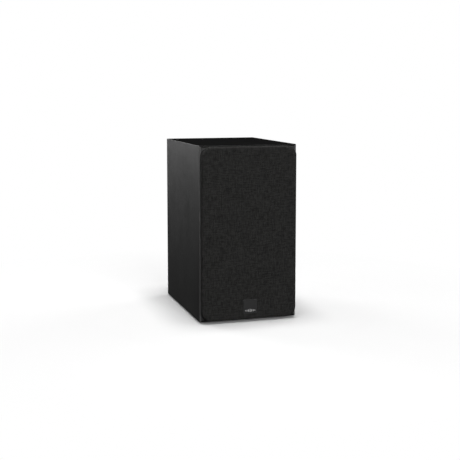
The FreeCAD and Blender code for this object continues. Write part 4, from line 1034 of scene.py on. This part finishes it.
silkRoll = {
    "clamp": 20.0 * millimetre,
    "rollOuter": 16.2 * millimetre,
    "rollInner": 12.95 * millimetre,
    "rise": 1.25 * millimetre,
    "thickness": 0.26 * millimetre,
    "gap": 0.02 * millimetre,
    "rollSteps": 20,
    "turnSteps": 112,
}


def buildSilkSurround(roll):
    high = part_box("tweeter_surround")[1]
    middleY = high.y - roll["thickness"] / 2 - roll["gap"]
    line = [(roll["clamp"], middleY), ((roll["clamp"] + roll["rollOuter"]) / 2, middleY)]
    outer, inner = (roll["rollOuter"], middleY), (roll["rollInner"], middleY)
    line += arcLine(outer, inner, roll["rise"], roll["rollSteps"])
    wears = ("domeSilk", "silk", "tweeter_surround")
    piece = addTurned("tweeterSilkRoll", line, tweeterAxis, roll, *wears)
    start = (roll["clamp"], middleY, tweeterAxis.z)
    end = (roll["rollInner"], middleY, tweeterAxis.z)
    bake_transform(piece, "cabinet", "tweeter_diaphragm", start=start, end=end)
    weighByRadius(piece, tweeterAxis, roll["rollOuter"], roll["rollInner"])


buildSilkSurround(silkRoll)
print("moving soft parts made")


# wadding: crowned, lumpy polyester pads on the side walls and under the top

waddingPads = {
    "thickness": 12 * millimetre,
    "topHalfWidth": 57 * millimetre,
    "topDrop": 20 * millimetre,
    "gap": 0.4 * millimetre,
    "cell": 6 * millimetre,
    "lump": 26 * millimetre,
    "lumpDepth": 0.22,
    "fluff": 5 * millimetre,
    "fluffDepth": 0.09,
    "fluffShift": (7, 3, 5),
    "crownPower": 7,
    "edgeHeight": 0.3,
    "backLift": 0.12,
    "waistLong": 0.012,
    "waistShort": 0.02,
}


def addPad(bm, centre, halfLong, halfShort, depthWay, pad):
    # halfLong and halfShort are half sides as vectors; depthWay points from the wall into the box
    longCells = max(4, round(2 * halfLong.length / pad["cell"]))
    shortCells = max(4, round(2 * halfShort.length / pad["cell"]))
    layers = []
    for front in (0.0, 1.0):
        layer = []
        for i in range(longCells + 1):
            row = []
            for j in range(shortCells + 1):
                u = 2 * i / longCells - 1
                v = 2 * j / shortCells - 1
                crown = (1 - abs(u) ** pad["crownPower"]) * (1 - abs(v) ** pad["crownPower"])
                place = centre + halfLong * u * (1 - pad["waistLong"] * v * v)
                place = place + halfShort * v * (1 - pad["waistShort"] * u * u)
                lump = 0.5 + 0.5 * noise.noise(place / pad["lump"])
                fluff = 0.5 + 0.5 * noise.noise(place / pad["fluff"] + Vector(pad["fluffShift"]))
                height = pad["edgeHeight"] + (1 - pad["edgeHeight"]) * crown
                height *= 1 - pad["lumpDepth"] * lump - pad["fluffDepth"] * fluff
                depth = height if front else (1 - crown) * pad["backLift"]
                row.append(bm.verts.new(place + depthWay * depth))
            layer.append(row)
        layers.append(layer)
    for layer in layers:
        for i in range(longCells):
            for j in range(shortCells):
                bm.faces.new((layer[i][j], layer[i + 1][j], layer[i + 1][j + 1], layer[i][j + 1]))
    border = [(i, 0) for i in range(longCells)]
    border += [(longCells, j) for j in range(shortCells)]
    border += [(i, shortCells) for i in range(longCells, 0, -1)]
    border += [(0, j) for j in range(shortCells, 0, -1)]
    for (i, j), (k, m) in zip(border, border[1:] + border[:1]):
        bm.faces.new((layers[0][i][j], layers[0][k][m], layers[1][k][m], layers[1][i][j]))


def buildWadding(pad):
    low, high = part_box("wadding_pads")
    bm = bmesh.new()
    middleY = (low.y + high.y) / 2
    halfDepth = (high.y - low.y) / 2 - pad["gap"]
    sideTop = high.z - pad["topDrop"]
    sideZ = (low.z + sideTop) / 2
    sideHalf = (sideTop - low.z) / 2 - pad["gap"]
    usable = pad["thickness"] - 2 * pad["gap"]
    for side in (-1, 1):
        centre = Vector((side * (high.x - pad["gap"]), middleY, sideZ))
        inward = Vector((-side * usable, 0, 0))
        addPad(bm, centre, Vector((0, 0, sideHalf)), Vector((0, halfDepth, 0)), inward, pad)
    centre = Vector((0, middleY, high.z - pad["gap"]))
    halfAcross = Vector((pad["topHalfWidth"] - pad["gap"], 0, 0))
    addPad(bm, centre, halfAcross, Vector((0, halfDepth, 0)), Vector((0, 0, -usable)), pad)
    mesh = finishMesh("waddingBatts", bm, 80)
    piece = addPiece("waddingBatts", mesh, "polyesterWadding", "cabinet", "wadding", "wadding_pads")
    smooth = piece.modifiers.new("smooth", "SUBSURF")
    smooth.levels = 1
    smooth.render_levels = 1


buildWadding(waddingPads)


# inductor windings: enamelled wire in even turns between the bobbin's cheeks

windingCoils = {
    "wire": 1.15 * millimetre,
    "roundHalf": 75,  # degrees of each turn's outer side, either way of its middle
    "roundSteps": 6,
    "spinSteps": 72,
    "coils": (  # millimetres
        {"x": -26.0, "y": 0.0, "hub": 7.7, "outer": 16.0, "low": 1.5, "high": 20.5},
        {"x": 27.0, "y": -8.0, "hub": 6.2, "outer": 12.0, "low": 1.5, "high": 13.5},
    ),
}


def buildWindings(recipe):
    bm = bmesh.new()
    for coil in recipe["coils"]:
        hub, outer = coil["hub"] * millimetre, coil["outer"] * millimetre
        low = boardTop + coil["low"] * millimetre
        high = boardTop + coil["high"] * millimetre
        turns = round((high - low) / recipe["wire"])
        pitch = (high - low) / turns
        outline = [(hub, low)]
        for turn in range(turns):
            for n in range(recipe["roundSteps"] + 1):
                degrees = 2 * recipe["roundHalf"] * n / recipe["roundSteps"] - recipe["roundHalf"]
                angle = math.radians(degrees)
                radius = outer - pitch / 2 + pitch / 2 * math.cos(angle)
                outline.append((radius, low + (turn + 0.5) * pitch + pitch / 2 * math.sin(angle)))
        outline.append((hub, high))
        centre = (coil["x"] * millimetre, coil["y"] * millimetre, 0.0)
        turnOutline(bm, outline, centre, axis="z", steps=recipe["spinSteps"])
    mesh = finishMesh("inductorWireTurns", bm, 40)
    addPiece("inductorWireTurns", mesh, "copperWire", "cabinet", "copper", "inductor_windings")


buildWindings(windingCoils)


# bare leads of the crossover parts, and their solder joints on the board

partLeads = {
    "radius": 0.45,  # sizes and places are in millimetres, heights above the board
    "sides": 12,
    "routes": (
        ((39.0, 31.0, 8.0), (42.0, 31.0, 8.0), (43.6, 31.0, 6.0), (43.6, 31.0, -0.2)),
        ((5.0, 31.0, 8.0), (1.6, 31.0, 8.0), (0.4, 31.0, 6.0), (0.4, 31.0, -0.2)),
        ((-10.0, 36.0, 7.0), (-7.6, 36.0, 7.0), (-6.4, 36.0, 5.0), (-6.4, 36.0, -0.2)),
        ((-42.0, 36.0, 7.0), (-44.4, 36.0, 7.0), (-45.4, 36.0, 5.0), (-45.4, 36.0, -0.2)),
        ((-0.25, -5.0, 3.5), (-0.25, -4.2, 3.4), (-0.25, -3.4, 2.0), (-0.25, -3.4, -0.2)),
        ((-0.25, 20.0, 3.5), (-0.25, 21.6, 3.4), (-0.25, 22.6, 2.0), (-0.25, 22.6, -0.2)),
        ((-0.25, -27.0, 3.5), (-0.25, -28.0, 3.4), (-0.25, -28.8, 2.0), (-0.25, -28.8, -0.2)),
        ((-10.2, 4.0, 2.2), (-9.0, 5.4, 2.0), (-8.4, 6.4, 1.2), (-8.4, 6.8, -0.2)),
        ((15.2, -10.0, 2.2), (13.0, -10.8, 2.0), (12.2, -11.4, 1.2), (12.0, -11.8, -0.2)),
    ),
    "solderRadius": 1.5,
    "solderHeight": 0.9,
    "solderFoot": 0.4,  # foot, taper and tip are shares of the solder's radius
    "solderTaper": 0.62,
    "solderTip": 0.25,
    "solderSteps": 6,
    "solderSides": 20,
}


def buildPartLeads(leads):
    wires = bmesh.new()
    blobs = bmesh.new()
    for route in leads["routes"]:
        points = [(x * millimetre, y * millimetre, boardTop + z * millimetre) for x, y, z in route]
        ropeAlong(wires, points, leads["radius"] * millimetre, sides=leads["sides"])
        radius = leads["solderRadius"] * millimetre
        height = leads["solderHeight"] * millimetre
        outline = [(leads["solderFoot"] * radius, boardTop)]
        for n in range(leads["solderSteps"] + 1):
            part = n / leads["solderSteps"]
            rise = height * (1 - math.cos(math.pi * part)) / 2
            outline.append((radius * (1 - leads["solderTaper"] * part), boardTop + rise))
        outline.append((leads["solderTip"] * radius, boardTop + height))
        centre = (points[-1][0], points[-1][1], 0.0)
        turnOutline(blobs, outline, centre, axis="z", steps=leads["solderSides"])
    for name, bm in (("crossoverPartLeads", wires), ("crossoverSolder", blobs)):
        addPiece(name, finishMesh(name, bm), "zincSteel", "cabinet", "zinc_steel")


buildPartLeads(partLeads)
print("crossover details made")


# plus and minus moulded on the floor of the terminal cup, above their posts

polarityMarks = {
    "span": 5.6 * millimetre,
    "bar": 1.6 * millimetre,
    "proud": 0.6 * millimetre,
    "sunk": 0.1 * millimetre,
    "abovePost": 14.0 * millimetre,
    "collar": 3 * millimetre,  # how far the posts' insulators stand off the floor of the cup
    "bevel": 0.18 * millimetre,
}


def crossOutline(arm, half):
    # a plus when the arm is longer than the half width of its bars
    corners = []
    for turn in range(4):
        for x, z in ((half, arm), (half, half), (arm, half)):
            for _ in range(turn):
                x, z = z, -x
            corners.append((x, z))
    return corners


def buildPolarityMark(name, outline, postX, finish, slotName, mark):
    low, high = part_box("post_insulators")
    floorY = high.y - mark["collar"]
    centreZ = (low.z + high.z) / 2 + mark["abovePost"]
    bm = bmesh.new()
    rings = []
    for y in (floorY - mark["sunk"], floorY + mark["proud"]):
        rings.append([bm.verts.new((postX + x, y, centreZ + z)) for x, z in outline])
    skinRings(bm, rings, closeLast=False)
    for ring in rings:
        bm.faces.new(ring)
    piece = addPiece(name, finishMesh(name, bm, 30), finish, "cabinet", slotName)
    bevel = piece.modifiers.new("softEdges", "BEVEL")
    bevel.width = mark["bevel"]
    bevel.segments = 2


def buildPolarityMarks(mark):
    arm, half = mark["span"] / 2, mark["bar"] / 2
    redPost = (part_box("red_knob")[0].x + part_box("red_knob")[1].x) / 2
    blackPost = (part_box("black_knob")[0].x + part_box("black_knob")[1].x) / 2
    minus = [(-arm, -half), (arm, -half), (arm, half), (-arm, half)]
    plus = crossOutline(arm, half)
    buildPolarityMark("terminalPlusMark", plus, redPost, "redPlastic", "red_plastic", mark)
    buildPolarityMark("terminalMinusMark", minus, blackPost, "blackPlastic", "black_plastic", mark)


buildPolarityMarks(polarityMarks)
print("polarity marks made")


# floor, light and camera

studioFloor = {
    "size": 8.0,
    "steps": 40,
    "albedo": 0.8,
    "patchesPerMetre": 1.4,
    "patchTone": 0.97,
    "roughness": 0.9,
    "fadeFrom": 0.26,
    "fadeTo": 0.62,
}


def buildFloor(floor):
    bm = bmesh.new()
    steps = floor["steps"]
    bmesh.ops.create_grid(bm, x_segments=steps, y_segments=steps, size=floor["size"] / 2)
    mesh = bpy.data.meshes.new("studioFloor")
    bm.to_mesh(mesh)
    bm.free()
    material = bpy.data.materials.new("paleSweep")
    material.use_nodes = True
    tree = material.node_tree
    shader = tree.nodes["Principled BSDF"]
    patches = cloudy(tree, placed(tree, (floor["patchesPerMetre"],) * 3), 2.0)
    tone = remap(tree, patches, 0.3, 0.7, floor["patchTone"], 1.0)
    toned = {0: (floor["albedo"],) * 3, "Scale": tone}
    colour = addNode(tree, "ShaderNodeVectorMath", toned, operation="SCALE")
    tree.links.new(colour.outputs[0], shader.inputs["Base Color"])
    shader.inputs["Roughness"].default_value = floor["roughness"]
    shader.inputs["Specular IOR Level"].default_value = 0.0
    # the sweep runs out into the white behind it, the same way all round
    level = {0: placed(tree, (1.0, 1.0, 0.0))}
    fromMiddle = addNode(tree, "ShaderNodeVectorMath", level, operation="LENGTH")
    away = remap(tree, fromMiddle.outputs["Value"], floor["fadeFrom"], floor["fadeTo"], 0.0, 1.0)
    glow = {"Color": (1.0, 1.0, 1.0, 1.0), "Strength": 1.0}
    white = addNode(tree, "ShaderNodeEmission", glow).outputs[0]
    sweep = addNode(tree, "ShaderNodeMixShader", {0: away, 1: shader.outputs[0], 2: white}).outputs[0]
    tree.links.new(sweep, tree.nodes["Material Output"].inputs["Surface"])
    mesh.materials.append(material)
    plane = bpy.data.objects.new("studioFloor", mesh)
    bpy.context.scene.collection.objects.link(plane)
    plane.visible_glossy = False
    plane.visible_diffuse = False


buildFloor(studioFloor)

lamps = {
    "overheadBox": {
        "at": (0.0, -0.1, 2.3), "aim": (0.0, 0.0, 0.0),
        "size": (0.74, 0.78), "watts": 44.5,
    },
    "backLeftPanel": {
        "at": (-1.3, 2.0, 0.88), "aim": (-0.08, 0.0, 0.25),
        "size": (1.1, 1.0), "watts": 26.0,
    },
    "frontFill": {
        "at": (0.1, -2.5, 0.75), "aim": (0.0, 0.0, 0.15),
        "size": (0.9, 1.0), "watts": 38.0,
    },
    "rightFill": {
        "at": (1.9, 0.7, 0.9), "aim": (0.0, 0.0, 0.15),
        "size": (1.4, 1.2), "watts": 12.0,
    },
    "leftFill": {
        "at": (-1.9, 0.2, 0.8), "aim": (0.0, 0.0, 0.15),
        "size": (1.4, 1.2), "watts": 4.5,
    },
    "rearFill": {
        "at": (0.7, 2.2, 0.16), "aim": (0.0, 0.1, 0.14),
        "size": (0.9, 0.22), "watts": 8.0,
    },
}


def addLamp(name, lamp):
    light = bpy.data.lights.new(name, "AREA")
    light.shape = "RECTANGLE"
    light.size, light.size_y = lamp["size"]
    light.energy = lamp["watts"]
    holder = bpy.data.objects.new(name, light)
    holder.location = lamp["at"]
    way = Vector(lamp["aim"]) - Vector(lamp["at"])
    holder.rotation_euler = way.to_track_quat("-Z", "Y").to_euler()
    holder.visible_camera = False
    bpy.context.scene.collection.objects.link(holder)


for lampName, lamp in lamps.items():
    addLamp(lampName, lamp)

surroundings = {"backdrop": 1.0, "reflected": 0.012, "ambient": 0.08}


def buildWorld(levels):
    # white behind the object, dim in its reflections, soft grey fill everywhere else
    world = bpy.data.worlds.new("studio")
    bpy.context.scene.world = world
    world.use_nodes = True
    tree = world.node_tree
    ray = addNode(tree, "ShaderNodeLightPath").outputs
    level = remap(tree, ray["Is Glossy Ray"], 0.0, 1.0, levels["ambient"], levels["reflected"])
    mixed = {0: ray["Is Camera Ray"], 2: level, 3: levels["backdrop"]}
    level = addNode(tree, "ShaderNodeMix", mixed).outputs[0]
    tree.links.new(level, tree.nodes["Background"].inputs["Strength"])
    tree.nodes["Background"].inputs["Color"].default_value = (1.0, 1.0, 1.0, 1.0)


buildWorld(surroundings)

viewpoint = {
    "lens": 71.08,
    "sensor": 36.0,
    "yaw": -17.196,
    "pitch": 5.91,
    "distance": 1.6089,
    "target": (0.0, 0.0, 0.147),
    "right": 0.00166,
    "up": 0.07128,
    "shiftY": -0.10,
}


def addCamera(view):
    camera = bpy.data.cameras.new("studioCamera")
    camera.lens = view["lens"]
    camera.sensor_width = view["sensor"]
    camera.shift_y = view["shiftY"]
    yaw, pitch = math.radians(view["yaw"]), math.radians(view["pitch"])
    ahead = Vector((-math.sin(yaw) * math.cos(pitch), math.cos(yaw) * math.cos(pitch), -math.sin(pitch)))
    across = Vector((math.cos(yaw), math.sin(yaw), 0.0))
    above = across.cross(ahead)
    holder = bpy.data.objects.new("studioCamera", camera)
    place = Vector(view["target"]) - ahead * view["distance"]
    place = place + across * view["right"] + above * view["up"]
    turn = Matrix((across, above, -ahead)).transposed()
    holder.matrix_world = Matrix.Translation(place) @ turn.to_4x4()
    bpy.context.scene.collection.objects.link(holder)
    bpy.context.scene.camera = holder


addCamera(viewpoint)
bpy.context.scene.view_settings.view_transform = "Standard"
print("light and camera placed")
